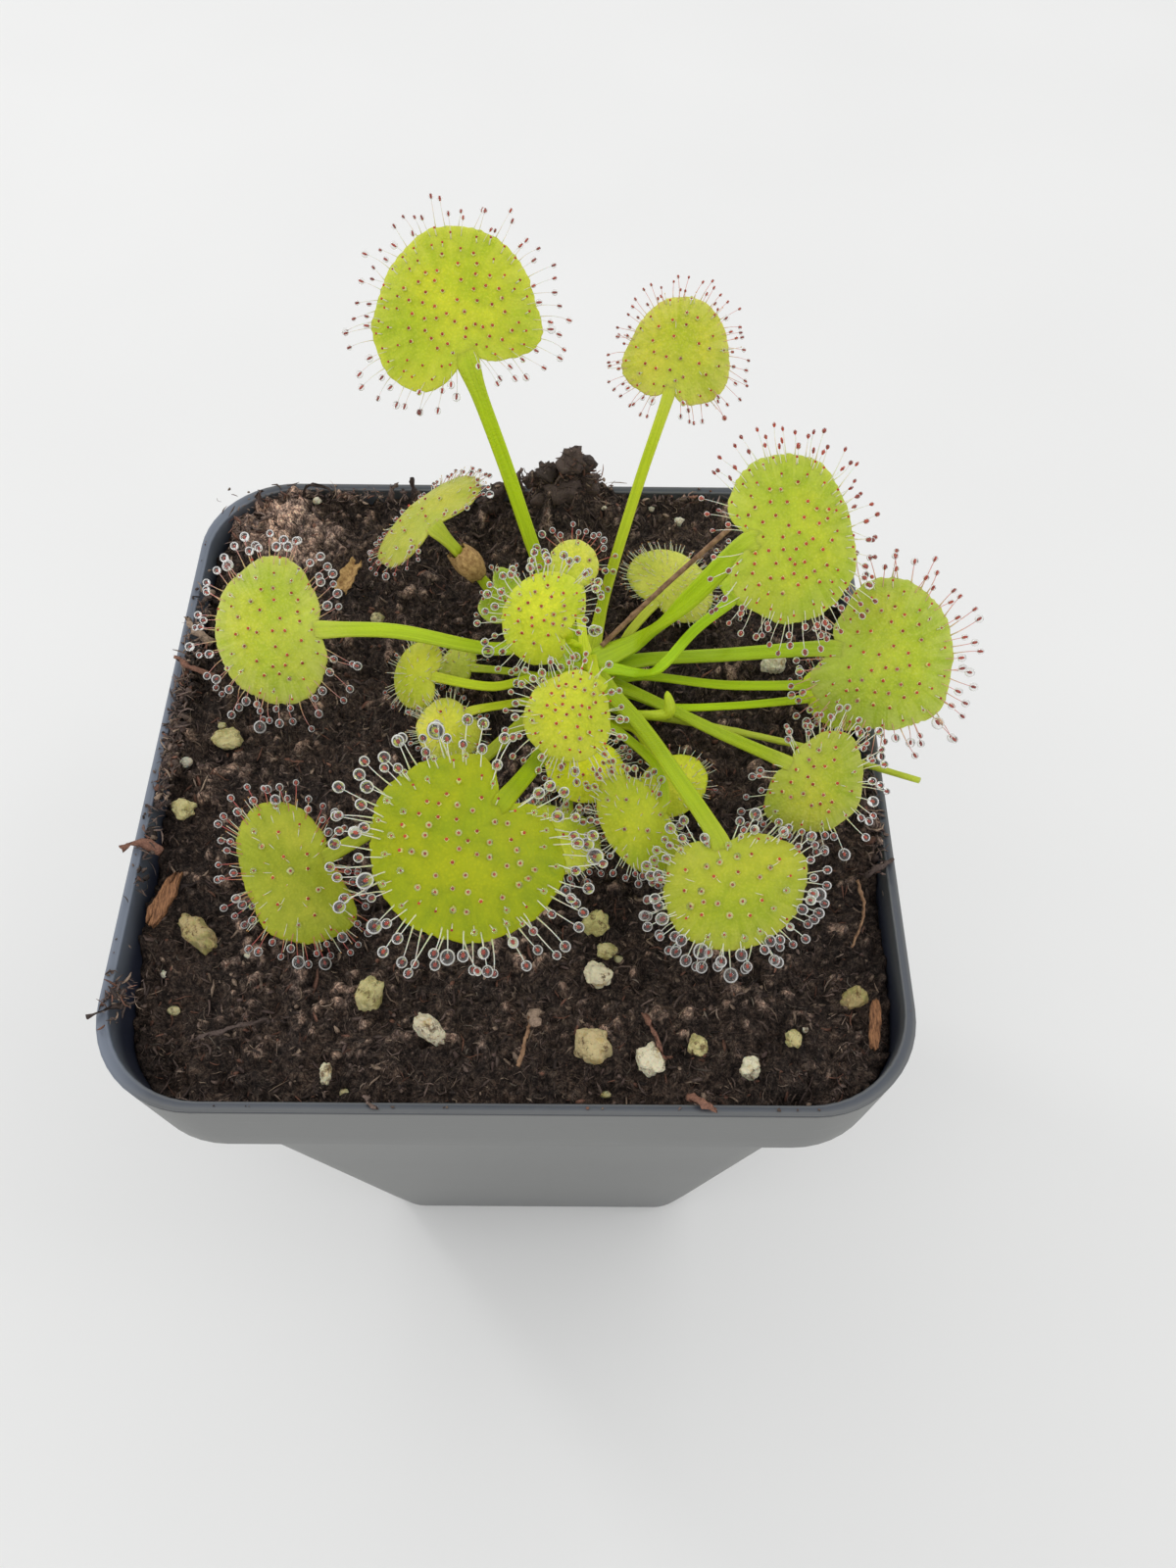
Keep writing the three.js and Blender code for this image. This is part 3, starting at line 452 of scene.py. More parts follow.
class Shader:
    """A Principled material and short names for the nodes that feed it."""

    def __init__(self, name, **settings):
        self.material = bpy.data.materials.new(name)
        self.material.use_nodes = True
        self.nodes = self.material.node_tree.nodes
        self.base = self.nodes["Principled BSDF"]
        for socket, value in settings.items():
            self.base.inputs[socket.replace("_", " ")].default_value = value
        self.place = self.node("TexCoord").outputs["Object"]

    def node(self, kind):
        """A new node."""
        return self.nodes.new(f"ShaderNode{kind}")

    def feed(self, node, values):
        """Gives each socket a number, a colour or what another node puts out, and returns the node."""
        for socket, value in values.items():
            if isinstance(value, (int, float)):
                node.inputs[socket].default_value = value
            elif isinstance(value, tuple):
                node.inputs[socket].default_value = (*value, 1)
            else:
                self.material.node_tree.links.new(value, node.inputs[socket])
        return node

    def scaled_place(self, stretch, size, place):
        """Where a point of the surface is, or what place says, in units of size mm that are longer by
        stretch along each axis."""
        mapping = self.node("Mapping")
        mapping.inputs["Scale"].default_value = [1 / (MM * size * s) for s in stretch]
        return self.feed(mapping, {"Vector": place or self.place}).outputs[0]

    def noise(self, size, detail=3.0, roughness=0.55, stretch=(1, 1, 1), place=None):
        """Noise with lumps about size mm across, longer by stretch along each axis."""
        where = self.scaled_place(stretch, size, place)
        texture = {"Vector": where, "Scale": 1, "Detail": detail, "Roughness": roughness}
        return self.feed(self.node("TexNoise"), texture).outputs["Fac"]

    def cells(self, size):
        """Distance to the nearest of points about size mm apart."""
        where = self.scaled_place((1, 1, 1), size, None)
        return self.feed(self.node("TexVoronoi"), {"Vector": where, "Scale": 1}).outputs["Distance"]

    def strands(self, cell, width, length):
        """Noise drawn out into strands, whose direction changes from one cell to the next."""
        spots = self.feed(self.node("TexVoronoi"), {"Vector": self.place, "Scale": 1 / (MM * cell)})
        angle = self.part_of(self.parts(spots.outputs["Color"])[0], FULL_TURN)
        turn = self.node("VectorRotate")
        turn.rotation_type = "Z_AXIS"
        self.feed(turn, {"Vector": self.place, "Angle": angle})
        return self.noise(1, 3, 0.6, (length, width, length), turn.outputs[0])

    def steps(self, value, *stops):
        """A colour ramp over value. stops are (position, colour)."""
        node = self.feed(self.node("ValToRGB"), {"Fac": value})
        ramp = node.color_ramp
        while len(ramp.elements) < len(stops):
            ramp.elements.new(0.5)
        for element, (position, colour) in zip(ramp.elements, stops):
            element.position = position
            element.color = (*colour, 1)
        return node.outputs["Color"]

    def greys(self, value, *stops):
        """A ramp of greys over value. stops are (position, brightness)."""
        return self.steps(value, *((position, (level,) * 3) for position, level in stops))

    def fade(self, value, start, end):
        """0 where value is up to start, 1 from end on, and a ramp between."""
        return self.greys(value, (start, 0), (end, 1))

    def mix(self, share, first, second, blend="MIX"):
        """A share of the second colour in the first."""
        node = self.node("Mix")
        node.data_type = "RGBA"
        node.blend_type = blend
        return self.feed(node, {0: share, 6: first, 7: second}).outputs[2]

    def times(self, colour, other):
        """One colour multiplied by another."""
        return self.mix(1.0, colour, other, "MULTIPLY")

    def shaded(self, colour, value, *stops):
        """The colour multiplied by a ramp over value."""
        return self.times(colour, self.steps(value, *stops))

    def combine(self, first, second, operation="ADD"):
        """The sum of two values, or what another operation makes of them."""
        node = self.node("Math")
        node.operation = operation
        return self.feed(node, {0: first, 1: second}).outputs[0]

    def part_of(self, value, share):
        """A share of a value."""
        return self.combine(value, share, "MULTIPLY")

    def vector(self, operation, value):
        """LENGTH or NORMALIZE of a vector."""
        node = self.node("VectorMath")
        node.operation = operation
        self.feed(node, {0: value})
        return node.outputs["Value" if operation == "LENGTH" else "Vector"]

    def carried(self, name="tint"):
        """The colour that the mesh carries."""
        node = self.node("Attribute")
        node.attribute_name = name
        return node.outputs["Color"]

    def parts(self, colour):
        """The three channels of a colour."""
        return list(self.feed(self.node("SeparateColor"), {"Color": colour}).outputs)

    def spread(self, value, low, high):
        """value, from 0 to 1, spread from low to high."""
        return self.feed(self.node("MapRange"), {"Value": value, "To Min": low, "To Max": high}).outputs[0]

    def bump(self, height, depth, strength):
        """Raises the surface by up to depth mm where height is 1."""
        node = self.feed(self.node("Bump"), {"Strength": strength, "Distance": depth * MM, "Height": height})
        self.feed(self.base, {"Normal": node.outputs[0]})

    def finish(self, colour, roughness=None):
        """Gives the material its colour and roughness, and returns it."""
        self.feed(self.base, {"Base Color": colour})
        if roughness is not None:
            self.feed(self.base, {"Roughness": roughness})
        return self.material


def leaf_material(name, blade, blade_dark, petiole):
    """Living leaf. The mesh's tint says how much petiole (red), pale (green) and rim (blue) it is; on a
    blade the pale near its notch is a painted highlight. Its flow has no unit: from 0 in a blade's
    middle to about 1 at the margin."""
    shader = Shader(name, Roughness=0.42, Subsurface_Weight=0.3, Subsurface_Scale=0.9 * MM,
                    Subsurface_Radius=(0.8, 1.0, 0.2), Specular_IOR_Level=0.26)
    rays_per_unit, streaks_per_unit = 15, 7
    stalk, pale, rim = shader.parts(shader.carried())
    flow = shader.carried("flow")
    out = shader.vector("LENGTH", flow)
    grain, cells = shader.noise(0.26), shader.cells(0.32)
    rays = shader.noise(1 / MM / rays_per_unit, 3, 0.6, place=shader.vector("NORMALIZE", flow))
    streak = shader.noise(1 / MM / streaks_per_unit, 2, 0.5, place=flow)
    colour = shader.mix(shader.fade(shader.noise(5.5, 2, 0.5), 0.36, 0.64), blade_dark, blade)
    colour = shader.shaded(colour, streak, (0.36, (0.9, 0.92, 0.85)), (0.62, (1.05, 1.04, 1.1)))
    colour = shader.shaded(colour, cells, (0.1, (1.08, 1.05, 1.12)), (0.55, (0.9, 0.93, 0.86)))
    flecks = shader.part_of(shader.fade(grain, 0.5, 0.72), 0.28)
    colour = shader.mix(flecks, colour, rgb(216, 222, 112))
    fringe = shader.part_of(shader.fade(out, 0.5, 1.0), shader.greys(rays, (0.38, 0.08), (0.64, 0.6)))
    colour = shader.mix(fringe, colour, rgb(214, 220, 104))
    # Painted shade: the blade darker and greener towards its margin, where it curves down.
    colour = shader.shaded(colour, out, (0.5, (1.04, 1.02, 1.05)), (0.95, (0.92, 0.95, 0.88)))
    ribbed = shader.shaded(petiole, streak, (0.34, (0.86, 0.88, 0.75)), (0.5, (1, 1, 1)),
                           (0.66, (1.1, 1.07, 1.3)))
    colour = shader.mix(stalk, colour, ribbed)
    # Pale: the petiole's paler parts, and on the blade a painted highlight near the notch.
    colour = shader.mix(shader.part_of(pale, 0.7), colour, rgb(212, 220, 88))
    colour = shader.mix(shader.part_of(rim, 0.5), colour, rgb(214, 220, 96))
    colour = shader.times(colour, shader.carried("tone"))
    shader.bump(shader.combine(shader.combine(grain, cells, "SUBTRACT"), streak), 0.08, 0.6)
    return shader.finish(colour, shader.spread(grain, 0.34, 0.52))


def tentacle_material():
    """Stalks and glands, in the colours that the mesh carries."""
    shader = Shader("tentacles", Roughness=0.3, Subsurface_Weight=0.3, Subsurface_Scale=0.3 * MM,
                    Specular_IOR_Level=0.5)
    spots = shader.noise(0.18, 2)
    return shader.finish(shader.shaded(shader.carried(), spots, (0.3, (0.86, 0.84, 0.84)),
                                       (0.7, (1.08, 1.08, 1.08))))


def drop_material():
    """Clear mucilage: glassy, with a painted ring of light inside its edge, where the drop is made less
    clear so its pale colour shows. The mesh's tint says how white that painted ring is (red)."""
    shader = Shader("mucilage", Roughness=0.0, IOR=1.36, Coat_Weight=0.35, Coat_Roughness=0.0, Coat_IOR=1.6)
    slope = shader.feed(shader.node("LayerWeight"), {"Blend": 0.5}).outputs["Facing"]
    # Painted light: where the drop turns from view it is made less clear, so a ring of its pale colour
    # shows.
    ring = shader.greys(slope, (0.3, 1), (0.44, 0.34), (0.66, 0.26), (0.84, 0.85))
    white = shader.parts(shader.carried())[0]
    shader.feed(shader.base, {"Transmission Weight": shader.mix(white, (1, 1, 1), ring)})
    # The pale colour of the painted ring, which also tints what the drop lets through.
    painted_ring_and_tint = shader.steps(shader.noise(0.6, 2), (0.3, (0.87, 0.87, 0.85)), (0.7, (0.93, 0.93, 0.91)))
    return shader.finish(shader.mix(white, (1, 1, 1), painted_ring_and_tint))


def peat_material():
    """Peat: a mat of strands. The mesh's tint carries painted shade, dark in the hollows, and painted light
    on the crumbs.
    """
    shader = Shader("peat", Specular_IOR_Level=0.2)
    height = shader.parts(shader.carried())[0]
    coarse, fine = shader.strands(1.3, 0.22, 0.9), shader.strands(0.6, 0.14, 0.42)
    fibres = shader.combine(shader.part_of(coarse, 0.5), shader.part_of(fine, 0.5))
    crumbs = shader.noise(0.75, 5, 0.75)
    colour = shader.steps(fibres, (0.4, rgb(110, 94, 88)), (0.5, rgb(186, 160, 146)),
                          (0.6, rgb(250, 226, 206)))
    colour = shader.shaded(colour, crumbs, (0.38, (0.3, 0.29, 0.31)), (0.5, (1, 1, 1)),
                           (0.66, (2.15, 2.02, 1.88)))
    colour = shader.shaded(colour, shader.noise(4.5, 4), (0.35, (0.7, 0.7, 0.72)), (0.65, (1.3, 1.22, 1.15)))
    # Painted shade in the hollows and painted light on the raised crumbs, from the mesh's tint.
    colour = shader.shaded(colour, height, (0.1, (0.12, 0.12, 0.12)), (0.6, (1.15, 1.12, 1.08)))
    shader.bump(shader.combine(fibres, crumbs), 0.45, 1.0)
    return shader.finish(colour, shader.spread(coarse, 0.55, 1.0))


def fibre_material():
    """Shreds and crumbs of peat, in the colours that the mesh carries."""
    shader = Shader("peat_shreds", Roughness=0.75, Specular_IOR_Level=0.3)
    grain = shader.noise(0.22, 4, 0.7)
    colour = shader.shaded(shader.carried(), grain, (0.32, (0.55, 0.53, 0.52)), (0.66, (1.3, 1.26, 1.22)))
    shader.bump(grain, 0.1, 0.9)
    return shader.finish(colour)


def perlite_material(name, body, stain, stain_from):
    """Foamy grit with stains of algae or peat, and painted shade in its pits. The mesh's tint is the grain's
    own colour beside body.
    """
    shader = Shader(name, Roughness=0.9, Specular_IOR_Level=0.25, Subsurface_Weight=0.15,
                    Subsurface_Scale=0.5 * MM)
    pits = shader.cells(0.4)
    # Painted shade: darker in the pits.
    colour = shader.steps(pits, (0.02, tuple(0.82 * c for c in body)), (0.3, body))
    colour = shader.times(colour, shader.carried())
    for spots, start, end, hue in ((shader.noise(1.8, 5, 0.65), stain_from, stain_from + 0.12, stain),
                                   (shader.noise(1.3, 5, 0.75), 0.54, 0.64, rgb(88, 60, 36))):
        colour = shader.mix(shader.part_of(shader.fade(spots, start, end), 0.85), colour, hue)
    shader.bump(shader.combine(pits, shader.noise(0.2)), 0.25, 0.8)
    return shader.finish(colour)


def dry_material(name, dark, light, size, stretch=(1, 1, 1)):
    """Bark, dry stalks and dry leaf, with fibres about size mm apart."""
    shader = Shader(name, Roughness=0.8, Specular_IOR_Level=0.3)
    fibres = shader.noise(size, 5, 0.65, stretch)
    shader.bump(fibres, 0.2, 0.9)
    return shader.finish(shader.steps(fibres, (0.36, dark), (0.62, light)))


def pot_material():
    """Dark, dull, moulded plastic with faint smears and specks of dust. The mesh's tint says how much
    painted sheen it has (red): a painted reflection of the pale floor on the outside and a painted
    highlight on the lip. It says how dark it is (green), with painted shade in the groove under the lip
    and down the inner wall, and how pale blue (blue), as painted light from the left."""
    shader = Shader("pot_plastic", Specular_IOR_Level=0.85)
    outside, inside, painted_left_light = shader.parts(shader.carried())
    smear = shader.noise(16, 4, 0.6)
    plastic = shader.steps(smear, (0.3, rgb(44, 52, 66)), (0.7, rgb(54, 62, 76)))
    # Painted sheen: the pale grey of the outside and the lip, a painted reflection of the pale floor and a
    # painted highlight.
    painted_sheen = shader.steps(smear, (0.3, rgb(92, 93, 92)), (0.7, rgb(102, 103, 101)))
    scuffs = shader.noise(1.4, 4, 0.7, (5, 5, 0.5))
    marks = shader.part_of(shader.fade(scuffs, 0.6, 0.72), 0.14)
    dust = shader.part_of(shader.fade(shader.noise(0.3, 2), 0.74, 0.8), 0.35)
    colour = shader.mix(outside, plastic, painted_sheen)
    # Painted shade inside (green) and painted light from the left (blue), then the scuffs and dust.
    for share, hue in ((inside, rgb(36, 42, 60)), (painted_left_light, rgb(104, 113, 128)), (marks, rgb(130, 132, 134)),
                       (dust, rgb(130, 126, 118))):
        colour = shader.mix(share, colour, hue)
    shader.bump(shader.combine(shader.noise(0.4), scuffs), 0.02, 0.4)
    return shader.finish(colour, shader.spread(smear, 0.4, 0.52))


LEAF_GREEN = leaf_material("leaf", rgb(198, 208, 46), rgb(170, 193, 28), rgb(176, 206, 20))
SHREDS = fibre_material()
FINISHES = {
    "leaf": LEAF_GREEN,
    "stem": LEAF_GREEN,
    "young_leaf": leaf_material("young_leaf", rgb(208, 214, 58), rgb(186, 200, 40), rgb(188, 208, 32)),
    "old_leaf": leaf_material("old_leaf", rgb(210, 212, 98), rgb(176, 188, 60), rgb(178, 192, 52)),
    "tentacle": tentacle_material(),
    "mucilage": drop_material(),
    "peat": peat_material(),
    "dry_stalk": dry_material("dry_stalk", rgb(118, 88, 66), rgb(164, 130, 100), 0.7),
    "dry_leaf": dry_material("dry_leaf", rgb(140, 104, 62), rgb(202, 166, 108), 0.5),
    "bark": dry_material("bark", rgb(84, 54, 38), rgb(170, 122, 84), 0.16, (1, 7, 1)),
    "perlite": perlite_material("perlite", rgb(232, 226, 202), rgb(190, 160, 96), 0.54),
    "mossy_perlite": perlite_material("mossy_perlite", rgb(212, 204, 156), rgb(166, 158, 98), 0.48),
    "pot_plastic": pot_material(),
}
SLOTS = {entry["node"]: entry["material_slot"] for entry in frame["record"]["subparts"]}

# ---------------------------------------------------------------- pot


def rounded_square(width):
    """Points of a rounded square, anticlockwise from above."""
    corner_steps, side_steps = 12, 8
    corner = POT_CORNER * width
    straight = width / 2 - corner
    points = []
    for quarter, (x, y) in enumerate([(1, 1), (-1, 1), (-1, -1), (1, -1)]):
        turns = (quarter + np.linspace(0, 1, corner_steps + 1)) * math.pi / 2
        arc = np.stack([x * straight + corner * np.cos(turns), y * straight + corner * np.sin(turns)], 1)
        points.append(arc)
        reach = 2 * straight * np.linspace(0, 1, side_steps + 1)[1:-1, None]
        points.append(arc[-1] + reach * [-math.sin(turns[-1]), math.cos(turns[-1])])
    return np.vstack(points)


LEDGE = (POT_BAND_FOOT_WIDTH - POT_BODY_TOP_WIDTH) / 2  # how far the body stands back under the band
LEDGE_FOOT = POT_BAND_FOOT - LEDGE
LEDGE_MITRE = POT_WALL * math.tan(math.pi / 8)
WIDTHS = np.array([POT_BASE_WIDTH, POT_BODY_TOP_WIDTH, POT_BAND_FOOT_WIDTH, POT_RIM])


def outer_width(height):
    """The pot's outer width at a height, without its rounded edges."""
    return np.interp(height, [0, LEDGE_FOOT, POT_BAND_FOOT, POT_HEIGHT], WIDTHS)


def inner_width(height):
    """The pot's inner width at a height."""
    heights = [POT_FLOOR, LEDGE_FOOT + LEDGE_MITRE, POT_BAND_FOOT + LEDGE_MITRE, POT_HEIGHT]
    return np.interp(height, heights, WIDTHS - 2 * POT_WALL)


# How far left of the middle, in mm, the rim is painted pale blue as painted light from the left, over
# what distance, and how deep. Where the painted shade is deeper than the last of these, it stays as it is.
LEFT_SIDE = 33.0
LEFT_SIDE_FADE = 5.0
PAINTED_LIGHT_DEPTH = 3.6
PAINTED_LIGHT_ABOVE = 0.45


LIP_EDGE = 0.22  # the radius of the lip's two edges


def outer_profile():
    """The pot's profile from the foot up to the lip: height, width, how much painted sheen it has, and how
    dark it is with painted shade."""
    foot, groove = 0.8, 0.22  # a radius and a depth
    groove_foot, groove_top = POT_HEIGHT - 0.8, POT_HEIGHT - 0.68
    edge = LIP_EDGE
    # The outside carries the painted sheen all the way up, a painted reflection of the pale floor.
    profile = [(foot * (1 - math.cos(a)), POT_BASE_WIDTH - 2 * foot * (1 - math.sin(a)), 0.8, 0)
               for a in np.linspace(0, math.pi / 2, 5)]
    profile += [(z, outer_width(z), painted_sheen, 0)
                for z, painted_sheen in ((12, 0.9), (30, 1), (60, 1), (LEDGE_FOOT - 0.6, 1))]
    profile += [(LEDGE_FOOT, POT_BODY_TOP_WIDTH + 0.2, 1, 0),
                (POT_BAND_FOOT - 0.4, POT_BAND_FOOT_WIDTH - 0.6, 1, 0),
                (POT_BAND_FOOT - 0.05, POT_BAND_FOOT_WIDTH - 0.14, 1.1, 0),
                (POT_BAND_FOOT + 0.35, POT_BAND_FOOT_WIDTH, 1.1, 0)]
    profile += [(z, outer_width(z), painted_sheen, 0)
                for z, painted_sheen in ((100, 1), (104, 1), (POT_HEIGHT - 1.1, 1), (POT_HEIGHT - 0.85, 0.9))]
    # Painted shade in the fine groove under the lip.
    profile += [(z, POT_RIM - 2 * groove, 0, 0.5) for z in (groove_foot, groove_top)]
    # The lip's rounded outer edge, with a painted highlight.
    profile += [(POT_HEIGHT - edge + edge * math.sin(a), POT_RIM - 2 * edge + 2 * edge * math.cos(a), 0.7, 0)
                for a in np.linspace(-1.2, math.pi / 2, 7)]
    return profile


def inner_profile():
    """The same over the lip and down inside to the floor."""
    edge = LIP_EDGE
    inner_lip = POT_HEIGHT - 0.16  # the lip is a little lower inside
    inner_edge = POT_RIM - 2 * POT_WALL + 2 * edge
    # Across the lip's top a painted highlight fades inwards, and it comes back on the rounded inner edge.
    profile = [(POT_HEIGHT - 0.02, POT_RIM - 0.75, 0.35, 0), (POT_HEIGHT - 0.05, POT_RIM - 1.0, 0.2, 0),
               (POT_HEIGHT - 0.1, POT_RIM - 1.3, 0.1, 0), (inner_lip, inner_edge + 0.1, 0.1, 0)]
    profile += [(inner_lip - edge + edge * math.sin(a), inner_edge + 2 * edge * math.cos(a), 0.5, 0)
                for a in np.linspace(math.pi / 2 + 0.2, math.pi, 5)]
    # Down the inner wall the painted sheen fades out and painted shade deepens.
    profile += [(POT_HEIGHT - down, inner_width(POT_HEIGHT - down), painted_sheen, dark)
                for down, painted_sheen, dark in ((0.9, 0.65, 0), (1.8, 0.45, 0.1), (2.8, 0.2, 0.4), (4.0, 0, 0.9),
                                          (5.0, 0, 1))]
    heights = (103, POT_BAND_FOOT + LEDGE_MITRE, LEDGE_FOOT + LEDGE_MITRE, 70, 45, 20, POT_FLOOR + 1)
    profile += [(z, inner_width(z), 0, 1) for z in heights]
    return [*profile, (POT_FLOOR, inner_width(POT_FLOOR) - 1.2, 0, 1)]


def build_pot():
    """The moulded pot: a lip over a fine groove, a sloping ledge under the band, a rounded foot, and
    four holes."""
    profile, rings = [*outer_profile(), *inner_profile()], []
    for height, width, _, _ in profile:
        square = rounded_square(width)
        rings.append(np.c_[square, np.full(len(square), height)])
    tint = np.repeat([(painted_sheen, dark, 0) for _, _, painted_sheen, dark in profile], len(rings[0]), axis=0)
    grid = np.arange(len(tint)).reshape(1, len(rings), -1)
    points = np.vstack(rings)
    # Painted light from the left: the left of the rim turns pale blue near its top, except where the painted
    # shade is deep.
    high = np.clip(1 - (POT_HEIGHT - points[:, 2]) / PAINTED_LIGHT_DEPTH, 0, 1)
    left = np.clip((-points[:, 0] - LEFT_SIDE) / LEFT_SIDE_FADE, 0, 1)
    tint[:, 2] = high * left * (tint[:, 1] < PAINTED_LIGHT_ABOVE)
    shell = Batch()
    shell.add(points, ring_faces(grid), tint)
    pot = shell.piece("pot_moulded", SLOTS["pot"])
    for x in (-HOLE_OFFSET, HOLE_OFFSET):
        for y in (-HOLE_OFFSET, HOLE_OFFSET):
            drill = Batch()
            drill.add(*tubes(np.array([[(x, y, -2), (x, y, 2 * POT_FLOOR)]], float),
                             np.full((1, 2), HOLE_RADIUS), HOLE_SIDES))
            cut_with(pot, drill.piece("drill", SLOTS["pot"]))
    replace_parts(pot, "pot")


def cut_with(piece, cutter):
    """Cuts the cutter's solid out of the piece, and removes the cutter."""
    cut = piece.modifiers.new("cut", "BOOLEAN")
    cut.object = cutter
    cut.operation = "DIFFERENCE"
    cut.solver = "EXACT"
    evaluated = piece.evaluated_get(bpy.context.evaluated_depsgraph_get())
    piece.data = bpy.data.meshes.new_from_object(evaluated)
    piece.modifiers.clear()
    bpy.data.objects.remove(cutter)


# ---------------------------------------------------------------- soil

SOIL_HALF = 38.5  # half the soil's width at its top
PLACES_TO = 38.0  # how far from the middle loose things are laid
SHREDS_TO = 38.4  # how far shreds on the soil reach
HEAPS_TO = 39.2  # how far shreds heaped on the lip lie


def soil_height(x, y):
    """The CAD's soil surface."""
    waves = (np.sin(0.31 * x + 1.1) * np.cos(0.27 * y - 0.4) + 0.6 * np.sin(0.63 * x - 0.58 * y + 2)
             + 0.4 * np.cos(0.9 * y + 0.5 * x))
    edge = np.maximum(np.abs(x), np.abs(y)) / (POT_RIM / 2)
    height = SOIL_LEVEL + SOIL_ROUGHNESS * 0.5 * waves + SOIL_EDGE_RISE * edge**6
    for clump in CLUMPS:
        away = np.hypot(x - clump.at[0], y - clump.at[1])
        height = height + clump.rise * bell(away / clump.reach)
    return height


# Where the soil reaches the lip: the middles of two heaps with their reach, and the reach of the one
# along the back.
SIDE_HEAPS = (((-37, 4), 15), ((38, -8), 8))
BACK_HEAP = 7


def heaped(x, y):
    """Near 1 where soil is heaped up to the lip, and 0 elsewhere."""
    sides = sum(bell(np.hypot(x - middle[0], y - middle[1]) / reach) for middle, reach in SIDE_HEAPS)
    return np.clip(sides + bell((y - POT_RIM / 2) / BACK_HEAP), 0, 1)


def soil_detail(x, y):
    """Lumps, crumbs, pits, the gap along the wall and the heap in the back left corner, in mm above or
    below the smooth surface."""
    flat = np.c_[x, y, np.zeros(len(x))]
    lumps = noise_at(flat, 5.0, 3.1)
    crumbs = np.array([noise.turbulence(Vector(p) / 1.7, 4, True) for p in flat])
    swirl = 0.5 * np.stack([noise_at(flat, 1.6, 9.2), noise_at(flat, 1.6, 4.7), np.zeros(len(flat))], 1)
    clods, pits = spots_at(flat + 1.6 * swirl, 3.1), spots_at(flat + swirl, 1.1)
    edge = np.maximum(np.abs(x), np.abs(y)) / SOIL_HALF
    gap = 1.7 * edge**16 * (1 - heaped(x, y)) + 0.6 * bell(np.hypot(x + 35, y + 35) / 7)
    corner = 1.8 * bell(np.hypot(x + 32, y - 34) / 7)
    return 0.6 * lumps + 1.7 * (crumbs - 0.9) + 1.5 * (0.38 - clods) - 1.3 * (pits - 0.3) - gap + corner


def build_soil():
    """The peat: a fine crumbly top over a body that fills the pot."""
    cells = 200
    line = np.linspace(-1, 1, cells + 1)
    u, v = (a.ravel() for a in np.meshgrid(line, line))
    ring = np.maximum(np.abs(u), np.abs(v))
    angle = np.arctan2(v, u)
    outline = rounded_square(2.0)
    bearings = np.arctan2(outline[:, 1], outline[:, 0])
    order = np.argsort(bearings)
    reach = np.interp(angle, bearings[order], np.hypot(*outline.T)[order], period=FULL_TURN)
    half = inner_width(SOIL_LEVEL) / 2 - 0.15
    x, y = half * ring * reach * np.cos(angle), half * ring * reach * np.sin(angle)
    detail = soil_detail(x, y)
    top = np.c_[x, y, soil_height(x, y) + detail]
    index = np.arange(len(top)).reshape(cells + 1, cells + 1)
    faces = np.stack([index[:-1, :-1], index[:-1, 1:], index[1:, 1:], index[1:, :-1]], -1).reshape(-1, 4)
    rim = np.r_[index[0, :-1], index[:-1, -1], index[-1, :0:-1], index[:0:-1, 0]]
    depths = (POT_BAND_FOOT, LEDGE_FOOT, 50, POT_FLOOR + 0.3)
    below = [np.c_[top[rim, :2] * (inner_width(depth) / 2 - 0.3) / half, np.full(len(rim), depth)]
             for depth in depths]
    count = len(depths) * len(rim)
    grid = np.vstack([rim, len(top) + np.arange(count).reshape(len(depths), -1)])[None, ::-1]
    # Painted shade for the peat: darker in the hollows of the top, lighter on its lumps, and dark down the
    # sides.
    shade = np.r_[np.clip(0.5 + 0.45 * detail, 0, 1), np.full(count, 0.3)]
    soil = Batch()
    soil.add(np.vstack([top, *below]), [faces, *ring_faces(grid, ends=False), grid[:, 0, ::-1]],
             np.repeat(shade[:, None], 3, 1))
    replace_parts(soil.piece("soil_peat", SLOTS["soil"]), "soil")


def ground(x, y):
    """The height of the rough soil."""
    return soil_height(x, y) + soil_detail(x, y)


def in_pot(rng, count):
    """Random places in the pot, clear of its rounded corners."""
    x, y = rng.uniform(-PLACES_TO, PLACES_TO, (2, count))
    beyond = np.maximum(np.abs(x) + np.abs(y) - 1.84 * PLACES_TO, 0)
    return x - np.sign(x) * beyond, y - np.sign(y) * beyond


PEAT_HUES = np.array([
    rgb(141, 122, 112), rgb(120, 103, 96), rgb(96, 83, 78), rgb(167, 146, 128), rgb(141, 103, 87),
    rgb(128, 111, 103), rgb(75, 64, 60), rgb(107, 90, 85),
])
STRAND_HUES = np.array([
    rgb(171, 152, 137), rgb(150, 131, 121), rgb(135, 118, 110), rgb(195, 173, 150), rgb(152, 109, 90),
    rgb(122, 105, 99), rgb(143, 133, 121), rgb(113, 96, 90),
])


def hues_of(hues, rng, count, low, high, each):
    """One of the hues for each of count things, lighter or darker, for the each points that it has."""
    return np.repeat(hues[rng.integers(0, len(hues), count)] * rng.uniform(low, high, (count, 1)), each, 0)


STANDING = 0.06  # the share of shreds with an end up


